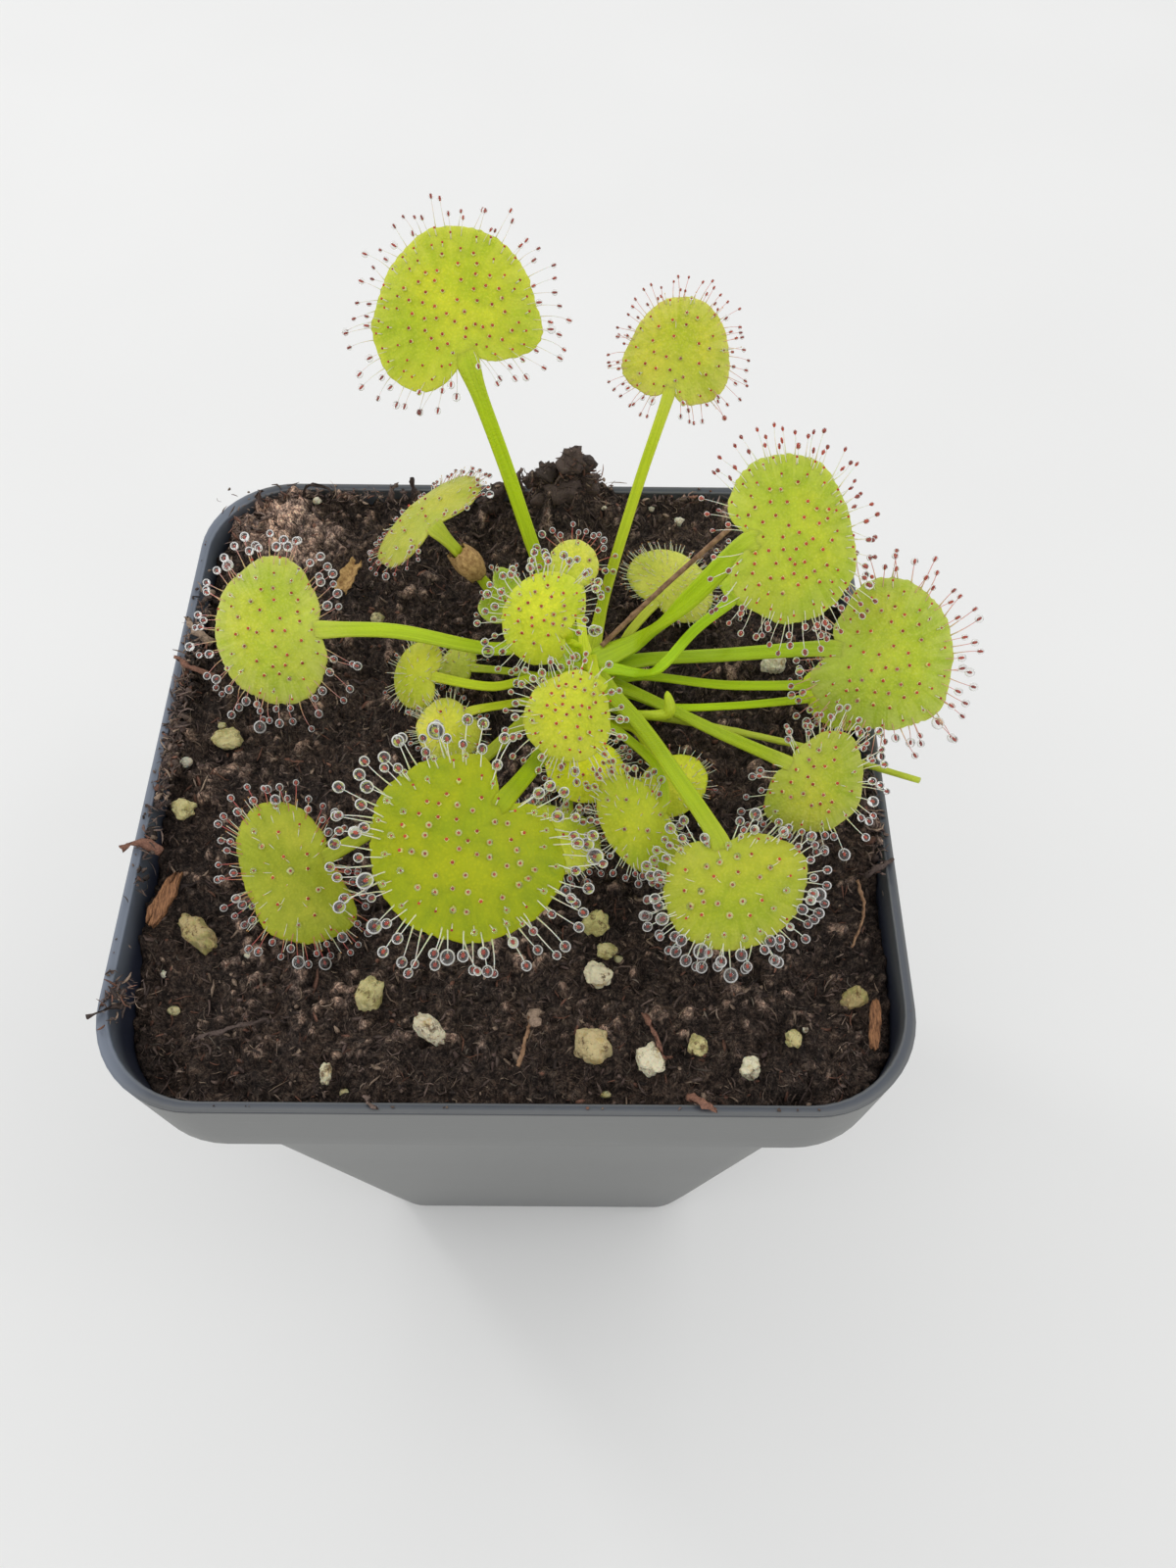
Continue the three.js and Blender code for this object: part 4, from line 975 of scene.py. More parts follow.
def lay_strands(batch, rng, count, lengths, widths, curl, hues, flat=0.5, heap=None, dim=1.0):
    """Adds shreds that lie crosswise on the peat, a few of them with an end up. lengths and widths
    are each the mean and the most, in mm, and curl how much they bend, in radians a mm. heap is the
    middles of shreds that lie elsewhere, and dim how light they all are."""
    taper, sides = np.array([0.45, 1, 0.85, 0.25]), 3
    steps = len(taper)
    x, y = in_pot(rng, count) if heap is None else heap[:2]
    length = np.clip(rng.gamma(2.6, lengths[0] / 2.6, count), 0.35, lengths[1])
    share = np.linspace(-0.5, 0.5, steps)
    bearing = rng.uniform(0, FULL_TURN, count)
    heading = bearing[:, None] + (curl * rng.normal(0, 1, count) * length)[:, None] * share
    path = np.empty((count, steps, 3))
    for axis, (middle, way) in enumerate(((x, np.cos(heading)), (y, np.sin(heading)))):
        run = np.cumsum(length[:, None] / (steps - 1) * way, axis=1)
        path[:, :, axis] = middle[:, None] + run - run.mean(1, keepdims=True)
    if heap is None:
        path[:, :, :2] = np.clip(path[:, :, :2], -SHREDS_TO, SHREDS_TO)
        under = ground(path[:, :, 0].ravel(), path[:, :, 1].ravel()).reshape(count, steps)
    else:
        under = np.repeat(heap[2][:, None], steps, 1)
    line = under[:, :1] + (under[:, -1:] - under[:, :1]) * (share + 0.5)
    standing = rng.uniform(0, 1, count) < STANDING
    tilt = np.where(standing, rng.uniform(0.3, 0.8, count), rng.normal(0.05, 0.1, count))
    lying = np.maximum(0.4 * under + 0.6 * line, under - 0.1) + 0.05
    path[:, :, 2] = lying + (length * tilt)[:, None] * (share + 0.4)
    radius = np.clip(rng.gamma(3, widths[0] / 6, count), 0.03, widths[1] / 2)[:, None] * taper
    points, faces = tubes(path, radius, sides, flat, rng.normal(0, 0.5, count))
    batch.add(points, faces, dim * hues_of(hues, rng, count, 0.4, 1.3, steps * sides))


# Where shreds are heaped: the middle, how far they spread, their height and number.
Heap = namedtuple("Heap", "at spread height count")
HEAPS = [
    Heap((-38.3, 3), (0.6, 9), POT_HEIGHT, 380),
    Heap((38.2, -8), (0.6, 3.5), POT_HEIGHT, 120),
    Heap((-34.6, 33), (1.6, 2.2), POT_HEIGHT - 0.6, 110),
    Heap((-24, 37.8), (5.5, 0.6), POT_HEIGHT - 0.3, 150),
    Heap((-38.0, -28.8), (0.9, 1.0), POT_HEIGHT - 0.2, 90),
    Heap((16, 37.9), (7, 0.5), POT_HEIGHT - 0.5, 90),
]
MOUND = Heap((3.4, 37.2), (4.2, 1.5), None, 260)  # these lie on the soil
FIBRE_COUNT = 4400
SHRED_COUNT = 4600


def strewn(rng, heap):
    """Random places about a heap's middle."""
    return (rng.normal(middle, spread, heap.count) for middle, spread in zip(heap.at, heap.spread))


def build_shreds():
    """The mat on the peat: thin curled fibres, and broader shreds of bark and old moss."""
    fibres, shreds = Batch(), Batch()
    lay_strands(fibres, seeded("fibres"), FIBRE_COUNT, (0.9, 3.0), (0.13, 0.24), 1.3, STRAND_HUES, 0.8,
                dim=0.8)
    rng = seeded("heaped")
    for heap in HEAPS:
        x, y = (np.clip(places, -HEAPS_TO, HEAPS_TO) for places in strewn(rng, heap))
        places = (x, y, heap.height + rng.uniform(-0.2, 0.7, heap.count))
        lay_strands(fibres, rng, heap.count, (1.0, 2.4), (0.24, 0.5), 0.8, PEAT_HUES, heap=places)
    x, y = strewn(rng, MOUND)
    places = (x, y, ground(x, y))
    lay_strands(fibres, rng, MOUND.count, (1.1, 2.8), (0.26, 0.6), 0.8, PEAT_HUES, heap=places)
    fibres.piece("soil_fibres", SLOTS["soil"], SHREDS)
    lay_strands(shreds, seeded("shreds"), SHRED_COUNT, (0.85, 2.8), (0.3, 0.62), 0.45, PEAT_HUES, 0.4,
                dim=0.84)
    shreds.piece("soil_shreds", SLOTS["soil"], SHREDS)


def lay_crumbs(batch, rng, x, y, height, sizes, raised):
    """Adds rough, splintery crumbs on a surface at some height. raised is how far their middles lie over
    it, as a share of their sizes."""
    count = len(x)
    places = np.c_[x, y, height + raised * sizes]
    axes = unit(rng.normal(0, 1, (count, 3)) + 1e-6)
    lengths, widths = (sizes * rng.uniform(low, high, count) for low, high in ((0.8, 1.6), (0.45, 0.9)))
    points, faces = balls(places, axes, lengths, widths, 6, 4)
    each = len(points) // count
    middle = np.repeat(places, each, 0)
    rough = 1 + 0.9 * noise_at(points, 0.4) + 0.3 * noise_at(points, 0.15)
    points = middle + (points - middle) * rough[:, None]
    batch.add(points, faces, hues_of(PEAT_HUES, rng, count, 0.35, 0.95, each))


CRUMB_COUNT = 900
# Crumbs by the wall and on the lip: how many, and their sizes.
LEFT_CRUMBS, LEFT_SIZES = 90, (0.2, 0.6)
RIGHT_CRUMBS, RIGHT_SIZES = 34, (0.2, 0.7)
LIP_SIZES = (0.06, 0.2)


def build_crumbs():
    """Loose crumbs of peat. Some have spilled onto the lip, mostly on the left."""
    rng, crumbs = seeded("crumbs"), Batch()
    x, y = in_pot(rng, CRUMB_COUNT)
    size = np.clip(rng.gamma(2.2, 0.09, CRUMB_COUNT), 0.1, 0.32)
    lay_crumbs(crumbs, rng, x, y, ground(x, y), size, 0.15)
    x, y = rng.uniform(-38.8, -37.4, LEFT_CRUMBS), rng.normal(3, 10, LEFT_CRUMBS)
    lay_crumbs(crumbs, rng, x, y, POT_HEIGHT - 0.3, rng.uniform(*LEFT_SIZES, LEFT_CRUMBS), 0.5)
    x, y = rng.uniform(37.4, 38.8, RIGHT_CRUMBS), rng.uniform(-13, -2, RIGHT_CRUMBS)
    lay_crumbs(crumbs, rng, x, y, POT_HEIGHT - 0.4, rng.uniform(*RIGHT_SIZES, RIGHT_CRUMBS), 0.6)
    lip = POT_RIM / 2 - 0.5
    for side, count in ((-lip, 30), (lip, 12)):
        size, y = rng.uniform(*LIP_SIZES, count), rng.uniform(-30, 30, count)
        lay_crumbs(crumbs, rng, np.full(count, side), y, POT_HEIGHT, size, 0.4)
    count = 24
    size, x, y = rng.uniform(*LIP_SIZES, count), rng.uniform(-30, 30, count), rng.choice((-lip, lip), count)
    lay_crumbs(crumbs, rng, x, y, POT_HEIGHT, size, 0.4)
    crumbs.piece("soil_crumbs", SLOTS["soil"], SHREDS)


# Larger bits that stick up: a thick shred along some points, its width, and which of the hues it has.
Bit = namedtuple("Bit", "points width hue")
BITS = [
    Bit([(-14.2, 38, 108.6), (-14.5, 38.4, 110.8), (-14.6, 38.6, 112.4)], 1.1, 6),
    Bit([(-28.4, 37.6, 108.8), (-28.2, 38, 111), (-26.4, 38, 111.7), (-24.8, 37.8, 110.9),
         (-24.6, 37.6, 109.4)], 0.5, 6),
    Bit([(-0.8, 38, 111.4), (-1.2, 38.2, 113.3), (-0.6, 38.4, 114.4)], 1.0, 7),
    Bit([(-33.4, 36, 109.4), (-33.8, 36.6, 111), (-33.2, 36.8, 111.8)], 0.8, 7),
    Bit([(-17.4, 38, 109), (-17.2, 38.2, 110.8), (-16.4, 38.4, 111.6)], 0.9, 1),
    Bit([(-34.8, 9.8, 109.6), (-37.4, 10.2, 110.8), (-39.6, 11.4, 111.3)], 0.8, 4),
    Bit([(-36.4, 14.6, 109.8), (-38.2, 15.8, 110.9), (-39.4, 17.2, 111.2)], 0.9, 3),
    Bit([(-37, -12.6, 109.4), (-39.4, -12.2, 110.8), (-41, -12.8, 110.4)], 1.0, 4),
    Bit([(-36.6, -29, 108.6), (-38.6, -30.2, 110.3), (-40.4, -31.2, 110.6)], 0.5, 6),
    Bit([(37, -14.6, 109), (38.6, -14, 110.3), (39.8, -13.4, 110.6)], 0.5, 2),
    Bit([(17.6, -37.9, 108.6), (18.6, -39, 110.4), (19.8, -39.7, 110.7)], 0.8, 4),
    Bit([(-13, -38, 108.4), (-12.6, -39.2, 110.3), (-11.6, -39.8, 110.4)], 0.5, 1),
    Bit([(13.4, -29.4, 107.8), (14.6, -32, 108.8), (15.4, -34.2, 108.2)], 0.4, 4),
    Bit([(-24, -30, 107.4), (-27.5, -31.5, 108.3), (-31, -32.4, 107.6)], 0.5, 2),
    Bit([(2.6, -29.5, 107.6), (2.5, -30.2, 108.5), (2.9, -30.9, 108.3)], 1.5, 3),
]


# Clods on the mound at the back: the middle and half the size.
CLODS = [
    ((5.7, 37.2, 116.9), 1.6), ((7.1, 37.4, 115.9), 1.2), ((4.6, 35.9, 113.2), 1.6),
    ((2.4, 37.2, 114.9), 1.2), ((0.5, 37.4, 113.3), 1.1), ((-1.9, 37.6, 112.6), 1.1),
    ((-3.8, 37.4, 111.2), 1.1), ((-5.4, 37, 109.6), 1.0), ((8.3, 37.4, 110.6), 1.2),
    ((7.8, 37.3, 113.2), 1.3), ((2.2, 35.8, 111.4), 1.3), ((6.6, 35.4, 110.6), 1.2),
]
CLOD_HUES = (1, 2, 7)  # which of the peat's hues
CLOD_SHREDS = 34  # on each


def build_bits():
    """Clods on the mound at the back, and the larger shreds that stick up along the lip."""
    rng = seeded("bits")
    bits, steps, sides = Batch(), 9, 6
    for bit in BITS:
        path = smooth_path(bit.points, steps)[None]
        share = np.linspace(0, 1, steps)
        radius = bit.width / 2 * (1 - 0.55 * share**2) * (1 + 0.25 * rng.normal(0, 1, steps))
        points, faces = tubes(path, np.maximum(radius, 0.12)[None], sides, 0.6, rng.uniform(-0.6, 0.6))
        points = points + 0.12 * rng.normal(0, 1, points.shape)
        bits.add(points, faces, PEAT_HUES[bit.hue])
    for middle, half in CLODS:
        size = half * rng.uniform(0.8, 1.15, 3)
        turn, hue = rng.uniform(0, 180), 0.5 * PEAT_HUES[rng.choice(CLOD_HUES)]
        lump(bits, rng, middle, size, turn, rough=0.55, tint=hue)
        way = unit(rng.normal(0, 1, (CLOD_SHREDS, 3)) + [0, -0.4, 0.6])
        places = tuple((middle + 0.95 * size * way).T)
        lay_strands(bits, rng, CLOD_SHREDS, (0.9, 1.8), (0.24, 0.45), 0.9, 0.7 * PEAT_HUES, 0.6, places)
    bits.piece("soil_bits", SLOTS["soil"], SHREDS)


# ---------------------------------------------------------------- grains, chips and dry stalks


def lump(batch, rng, centre, half, turn, rough, boxy=1.0, detail=3, tint=(1, 1, 1)):
    """Adds a closed lump with creases. half are its half sizes, turn its bearing in degrees, and a boxy
    under 1 squares it."""
    shape = bmesh.new()
    bmesh.ops.create_icosphere(shape, subdivisions=detail, radius=1)
    ball = np.array([v.co for v in shape.verts])
    faces = np.array([[v.index for v in f.verts] for f in shape.faces])
    shape.free()
    seed = rng.uniform(-50, 50)
    coarse, fine = np.abs(noise_at(ball, 0.95, seed)), np.abs(noise_at(ball, 0.4, seed))
    push = 1 + rough * (1.9 * coarse + 0.9 * fine - 0.7 + 0.5 * noise_at(ball, 1.4, seed))
    body = np.sign(ball) * np.abs(ball) ** boxy * push[:, None] * half
    angle = math.radians(turn)
    cosine, sine = math.cos(angle), math.sin(angle)
    spin = np.array([[cosine, sine, 0], [-sine, cosine, 0], [0, 0, 1]])
    batch.add(body @ spin + centre, [faces], tint)


# What colour some grains are beside their plain material. The others are as PLAIN_GRAIN.
GRAIN_TINTS = {
    "grain_03": (0.8, 0.7, 0.62), "grain_05": (0.95, 0.92, 0.85), "grain_07": (0.95, 0.95, 0.7),
    "grain_10": (0.78, 0.68, 0.46), "grain_11": (1.0, 0.98, 0.9), "grain_13": (1.0, 0.99, 0.9),
    # grain_16 is tinted past white as painted light, lifting the shade that a leaf casts on it.
    "grain_15": (0.7, 0.6, 0.5), "grain_16": (1.15, 1.15, 1.12),
}
PLAIN_GRAIN = (1, 0.97, 0.85)

# Grains that aren't round: their width and depth beside the CAD's, and their bearing in degrees.
GRAIN_SHAPES = {
    "grain_03": (1.1, 0.62, -38), "grain_04": (0.72, 1.0, -20), "grain_05": (1.0, 0.5, -38),
    "grain_06": (0.6, 1.05, 0), "grain_08": (1.0, 0.8, 0), "grain_10": (0.85, 0.85, 0),
    "grain_15": (1.0, 0.7, 30),
}


def build_grains():
    """Perlite and grit in the soil: lumpy grains in the place of the CAD's, some of them narrower."""
    for name in sorted(n for n in frame["nodes"] if n.startswith("grain_")):
        low, high = box_of(name)
        rng, grain = seeded(name), Batch()
        shape = (rng.uniform(0.8, 1.1), rng.uniform(0.7, 1.0), rng.uniform(0, 180))
        wide, deep, turn = GRAIN_SHAPES.get(name, shape)
        half = (high - low) / 2 * np.array([wide, deep, 0.95])
        middle = (low + high) / 2 - [0, 0, 0.12 * half[2]]
        lump(grain, rng, middle, half, turn, 0.28, 0.85, 4, GRAIN_TINTS.get(name, PLAIN_GRAIN))
        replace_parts(grain.piece(f"{name}_rough", SLOTS[name]), name)
    for mossy, name, slot in ((0, "grit_white", "perlite"), (1, "grit_mossy", "mossy_perlite")):
        rng, grit = seeded(name), Batch()
        for bit in (g for g in GRIT if g.mossy == mossy):
            height = ground(np.array([bit.x]), np.array([bit.y]))[0] + 0.2 * bit.width
            lump(grit, rng, (bit.x, bit.y, height), np.array([0.5, 0.42, 0.4]) * bit.width, 0, 0.4, 1, 2)
        grit.piece(name, slot)


def flake(batch, rng, centre, chip):
    """Adds a torn flake that curls up along its two long sides."""
    rows, columns = 22, 9
    u, v = np.meshgrid(np.linspace(-1, 1, rows), np.linspace(-1, 1, columns), indexing="ij")
    edge = np.c_[3 * u.ravel(), 2 * np.sign(v).ravel(), np.zeros(u.size)]
    ragged = 1 + 0.4 * noise_at(edge, 0.9, rng.uniform(-50, 50)).reshape(u.shape) - 0.4 * np.abs(u) ** 5
    torn = 1 + 0.12 * rng.normal(0, 1, columns)
    crumpled = noise_at(np.c_[2 * u.ravel(), v.ravel(), np.zeros(u.size)], 0.8, rng.uniform(-50, 50))
    height = chip.bow * (v**2 - 0.4) + 0.14 * crumpled.reshape(u.shape)
    flat = np.stack([u * torn * chip.size[0] / 2, v * ragged * chip.size[1] / 2, height], -1)
    turn, tilt = math.radians(chip.turn), math.radians(-chip.tilt)
    spin = Matrix.Rotation(turn, 3, "Z") @ Matrix.Rotation(tilt, 3, "Y")
    top = (flat.reshape(-1, 3) @ np.array(spin).T) + centre
    index = np.arange(rows * columns).reshape(rows, columns)
    cells = np.stack([index[:-1, :-1], index[1:, :-1], index[1:, 1:], index[:-1, 1:]], -1).reshape(-1, 4)
    around = np.r_[index[:-1, 0], index[-1, :-1], index[:0:-1, -1], index[0, :0:-1]]
    rim = np.stack([around + index.size, np.roll(around, -1) + index.size, np.roll(around, -1), around], -1)
    batch.add(np.vstack([top, top - [0, 0, chip.thick]]), [cells, cells[:, ::-1] + index.size, rim])


def build_chips():
    """Bark, a scrap of dry leaf and two twigs, in the place of the CAD's."""
    for chip in CHIPS:
        low, high = box_of(chip.name)
        scrap = Batch()
        flake(scrap, seeded(chip.name), (*chip.at, (low[2] + high[2]) / 2), chip)
        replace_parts(scrap.piece(f"{chip.name}_flake", SLOTS[chip.name]), chip.name)
    for twig in TWIGS:
        low, high = box_of(twig.name)
        rng, stick = seeded(twig.name), Batch()
        steps, height = 22, (low[2] + high[2]) / 2
        start, end = np.array((*twig.start, height)), np.array((*twig.end, height))
        middle = (start + end) / 2 + [twig.bend, 0, 0.1]
        path = smooth_path([start, middle, end], steps)
        path[:, :2] += 0.05 * rng.normal(0, 1, (steps, 2))
        radius = twig.width / 2 * (1 + 0.16 * rng.normal(0, 1, steps)) * np.linspace(1.05, 0.75, steps)
        stick.add(*tubes(path[None], radius[None], 9, 0.7, 0.5))
        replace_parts(stick.piece(f"{twig.name}_bark", SLOTS[twig.name]), twig.name)


def build_stalks():
    """Stalks without a blade: a brown one with a joint, an olive one, and one still curled."""
    steps, sides = 48, 12
    share, turns = np.linspace(0, 1, steps), turns_of(sides)
    flow = np.c_[np.tile(np.cos(turns), steps), np.tile(np.sin(turns), steps), np.repeat(share * 2, sides)]
    for stalk in STALKS:
        foot = crown_seat(stalk.seat, stalk.width) if stalk.seat else []
        path = smooth_path([*foot, *stalk.points], steps)
        rng, skin = seeded(stalk.name), Batch()
        radius = stalk.width / 2 * (1 + 0.03 * rng.normal(0, 1, steps))
        if stalk.name == "dead_stalk":
            radius = radius * (0.78 + 0.3 * bell((share - 0.26) / 0.015))
        elif stalk.name == "young_hook":
            rounded = np.sqrt(np.clip(1.02 - share**18, 0.02, 1))
            radius = radius * (0.85 + 0.35 * bell((share - 0.86) / 0.14)) * rounded
        else:
            radius = radius * (1.1 - 0.35 * share)
        points, faces = tubes(path[None], radius[None], sides, 0.85)
        skin.add(points, faces, (1, 0.25, 0), flow)
        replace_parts(skin.piece(f"{stalk.name}_skin", SLOTS[stalk.name], tone=PLAIN_TONE), stalk.name)


def build_collar():
    """The torn, papery husk round the back left leaf's petiole, where that passes the CAD's husk."""
    low, high = box_of("dead_collar")
    leaf = next(each for each in LEAVES if each.name == "leaf_back_left")
    path = smooth_path(petiole_points(leaf, Blade(leaf)), 200)
    near = path[np.all((path > low - 0.2) & (path < high + 0.2), axis=1)]
    rings, around = 12, 30
    line = smooth_path(near[:: max(1, len(near) // 5)], rings)
    rng, turns = seeded("collar"), turns_of(around)
    tangent = unit(np.gradient(line, axis=0))
    side = across_to(tangent)
    above = np.cross(side, tangent)
    share = np.linspace(0, 1, rings)[:, None]
    ragged = 0.22 * rng.normal(0, 1, around)  # how far its ends are torn, in mm
    swell = 1.25 + 0.55 * np.sin(math.pi * share) + 0.1 * np.sin(5 * turns + 4 * share)
    run = line[:, None] + tangent[:, None] * (ragged * (2 * share - 1) ** 3)[:, :, None]
    radial = np.cos(turns)[:, None] * side[:, None] + np.sin(turns)[:, None] * above[:, None]
    outer, inner = (run + radial * (leaf.stalk / 2 * swell + offset)[:, :, None] for offset in (0.12, -0.08))
    husk = Batch()
    grid = np.arange(2 * rings * around).reshape(1, 2 * rings, around)
    loop = np.concatenate([grid, grid[:, :1]], axis=1)
    husk.add(np.concatenate([outer, inner[::-1]]).reshape(-1, 3),
             [quads[:, ::-1] for quads in ring_faces(loop, ends=False)])
    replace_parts(husk.piece("dead_collar_husk", SLOTS["dead_collar"]), "dead_collar")


def build_crown():
    """The low, lumpy shoot that the petioles leave."""
    crown, seed, half_height = Batch(), 7.7, 3.9
    middle, upwards = np.array([*CROWN, CROWN_TOP - 4.6]), np.array([[0.0, 0.0, 1.0]])
    points, faces = balls(middle[None], upwards, np.array([half_height]), np.array([CROWN_RADIUS]), 32, 20)
    points = middle + (points - middle) * (1 + 0.16 * noise_at(points, 1.3, seed))[:, None]
    crown.add(points, faces, (1, 0.3, 0))
    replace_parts(crown.piece("crown_shoot", SLOTS["crown"], tone=PLAIN_TONE), "crown")


# ---------------------------------------------------------------- leaves


class Blade:
    """The blade's surface, as in the CAD but finer, with a gently uneven outline and top."""

    def __init__(self, leaf):
        self.leaf = leaf
        self.centre, self.notch = np.array(leaf.centre, float), np.array(leaf.notch, float)
        self.tip = unit(self.centre - self.notch)
        facing = np.array(leaf.facing, float)
        self.up = unit(facing - self.tip * (facing @ self.tip))
        self.right = np.cross(self.tip, self.up)
        self.notch_share = np.linalg.norm(self.centre - self.notch) / (leaf.along / 2)
        self.phase = seeded(leaf.name).uniform(0, FULL_TURN, 4)

    def margin(self, angle):
        """How far out the margin lies at an angle from the tip, as a share of half the size."""
        to_notch = math.pi - np.abs(angle)
        wavy = 0.006 * np.sin(5 * angle + self.phase[0]) + 0.006 * np.sin(9 * angle + self.phase[1])
        if self.leaf.name not in OUTLINES:
            lobes = self.leaf.lobes + self.leaf.skew * np.sin(angle)
            lobe = lobes * bell((np.abs(angle) - LOBE_AT) / LOBE_SPREAD)
            return (1 + lobe + wavy) * (1 - (1 - self.notch_share) * bell(to_notch / NOTCH_SPREAD))
        notch, spread, lobes = OUTLINES[self.leaf.name]
        filled = np.array([(lobes[0] + lobes[-1]) / 2, *lobes])
        place = (angle + math.pi) * len(filled) / FULL_TURN
        start = np.floor(place).astype(int)
        share = place - start
        a, b, c, d = (filled[(start + k) % len(filled)] for k in (-1, 0, 1, 2))
        cubic = 2 * a - 5 * b + 4 * c - d + share * (3 * b - a - 3 * c + d)
        smooth = b + share * (c - a + share * cubic) / 2
        return (smooth + wavy) * (1 - (1 - notch / filled[0]) * bell(to_notch / spread))

    def at(self, angle, out, side=0.0, rounding=None):
        """The point out of the way from the middle to the margin: on the top (side 1), on the
        underside (-1) or between. rounding stands for out where the blade's edge is rounded."""
        share = out * self.margin(angle)
        near_notch = bell((math.pi - np.abs(angle)) / JOIN_SPREAD)
        profile = np.sqrt(np.clip(1 - (out if rounding is None else rounding)**6, 0, 1))
        wave = 0.16 * np.sin(2.1 * out * 3 + self.phase[2]) * np.sin(3 * angle + self.phase[3]) * out
        height = side * profile * BLADE_THICKNESS / 2 - self.leaf.droop * out**2 * (1 - near_notch) + wave
        return (self.centre
                + np.multiply.outer(share * np.sin(angle) * self.leaf.across / 2, self.right)
                + np.multiply.outer(share * np.cos(angle) * self.leaf.along / 2, self.tip)
                + np.multiply.outer(height, self.up))

    def normal(self, angle, out):
        """The upper side's outward direction."""
        step = 0.03
        along = self.at(angle, out + step) - self.at(angle, out - step)
        around = self.at(angle + step, out) - self.at(angle - step, out)
        turned = unit(np.cross(along, around) + 1e-9)
        return turned * np.sign(turned @ self.up)[:, None]

    def outward(self, angle):
        """The direction from the blade's middle over its margin."""
        return unit(self.at(angle, np.full_like(angle, 1.0)) - self.at(angle, np.full_like(angle, 0.85)))


def crown_seat(leaf_seat, width):
    """A point in the crown, the one where a petiole leaves it, and one straight out (or up) from there."""
    degrees, height = leaf_seat
    way = np.array([math.cos(math.radians(degrees)), math.sin(math.radians(degrees))])
    if height > CROWN_TOP:
        foot = CROWN + CROWN_TOP_SEAT * way
        return [(*foot, height - 1.5), (*foot, height), (*foot, height + PETIOLE_REACH_OUT / 2)]
    start = CROWN_RADIUS + PETIOLE_CLEAR
    return [(*(CROWN + way), height - 0.8), (*(CROWN + start * way), height),
            (*(CROWN + (start + PETIOLE_REACH_OUT) * way), height + PETIOLE_LIFT * width / 2)]


def build_blade(skin, blade, around, rings):
    """Adds the closed blade to the skin."""
    angle = (np.arange(around) + 0.5) * FULL_TURN / around - math.pi
    jagged = seeded(blade.leaf.name + "_teeth").uniform(-0.014, 0.01, around)
    out = np.sin(np.linspace(0, math.pi / 2, rings + 1))[1:]
    back = out[-2::-1]
    rows = [blade.at(angle, o + jagged * o**8, side, o)
            for side, outs in ((1.0, out), (-1.0, back)) for o in outs]
    zero = np.zeros(1)
    poles = np.vstack([blade.at(zero, zero, side) for side in (1.0, -1.0)])
    body = np.vstack(rows)
    grid = np.arange(len(body)).reshape(1, -1, around)
    first, last = grid[0, 0], grid[0, -1]
    caps = [np.stack([np.full(around, len(body)), np.roll(first, -1), first], -1),
            np.stack([np.full(around, len(body) + 1), last, np.roll(last, -1)], -1)]
    shares = np.r_[np.repeat(out, around), np.repeat(back, around), 0, 0]
    turns = np.r_[np.tile(angle, len(rows)), 0, 0]
    points = np.vstack([body, poles])
    to_notch = np.linalg.norm(points - blade.notch, axis=1)
    # The blade's pale (green) near its notch is a painted highlight.
    tint = np.c_[0.55 * bell(to_notch / 2.4), 0.42 * bell(to_notch / (0.34 * blade.leaf.across)), shares**18]
    flow = np.c_[np.cos(turns) * shares, np.sin(turns) * shares, 0.25 * shares]
    skin.add(points, [*ring_faces(grid, ends=False), *caps], tint, flow)


def build_petiole(skin, path, ups, width, height, stalk, pale):
    """Adds a closed petiole: rounded below, nearly flat and grooved above. stalk and pale are how much
    of the petiole's colour and how pale it is, along its path."""
    sides = 16
    cosine, sine = np.cos(turns_of(sides)), np.sin(turns_of(sides))
    tangents = unit(np.gradient(path, axis=0))
    side = unit(np.cross(tangents, ups))
    above = np.cross(side, tangents)
    x = np.sign(cosine) * np.abs(cosine) ** 0.85
    y = np.where(sine > 0, np.abs(sine) ** 0.6 * (0.8 - 0.22 * bell(cosine / 0.4)), sine)
    rings = (path[:, None] + side[:, None] * np.multiply.outer(width / 2, x)[:, :, None]
             + above[:, None] * np.multiply.outer(height / 2, y)[:, :, None])
    grid = np.arange(len(path) * sides).reshape(1, len(path), sides)
    edges = 0.35 * bell((np.abs(cosine) - 0.9) / 0.14) * (sine > -0.4)
    tint = np.zeros((len(path), sides, 3))
    tint[:, :, 0] = stalk[:, None]
    tint[:, :, 1] = np.clip(edges[None] + pale[:, None], 0, 1)
    run = np.r_[0, np.cumsum(np.linalg.norm(np.diff(path, axis=0), axis=1))]
    flow = np.stack(np.broadcast_arrays(cosine[None], 0.7 * sine[None], 0.02 * run[:, None]), -1)
    skin.add(rings.reshape(-1, 3), [quads[:, ::-1] for quads in ring_faces(grid)], tint.reshape(-1, 3),
             flow.reshape(-1, 3))


PETIOLE_HEIGHT = 0.52  # as a share of its width
FLAT_TOP = 0.62  # how high a petiole's top lies over its path, as a share of half its height
LARGE = 12  # how broad a large blade is at least
# The points round a blade, the rings of each side, and the steps along the petiole.
LARGE_MESH = (128, 17, 54)
SMALL_MESH = (60, 10, 30)


def petiole_points(leaf, blade):
    """The petiole's path: flush with the top of the blade at the notch, then down into the blade."""
    to_top = FLAT_TOP * PETIOLE_HEIGHT * leaf.stalk / 2
    notch = np.full(1, math.pi)
    joins = [blade.at(notch, np.full(1, out), 1.0, 0.6)[0] - (to_top - lift) * blade.up
             for out, lift in ((1.02, -0.04), (0.84, -0.14))]
    return [*crown_seat(leaf.seat, leaf.stalk), *leaf.via, *joins,
            blade.at(notch, np.full(1, 0.45), 0.0)[0] - 0.5 * blade.up]


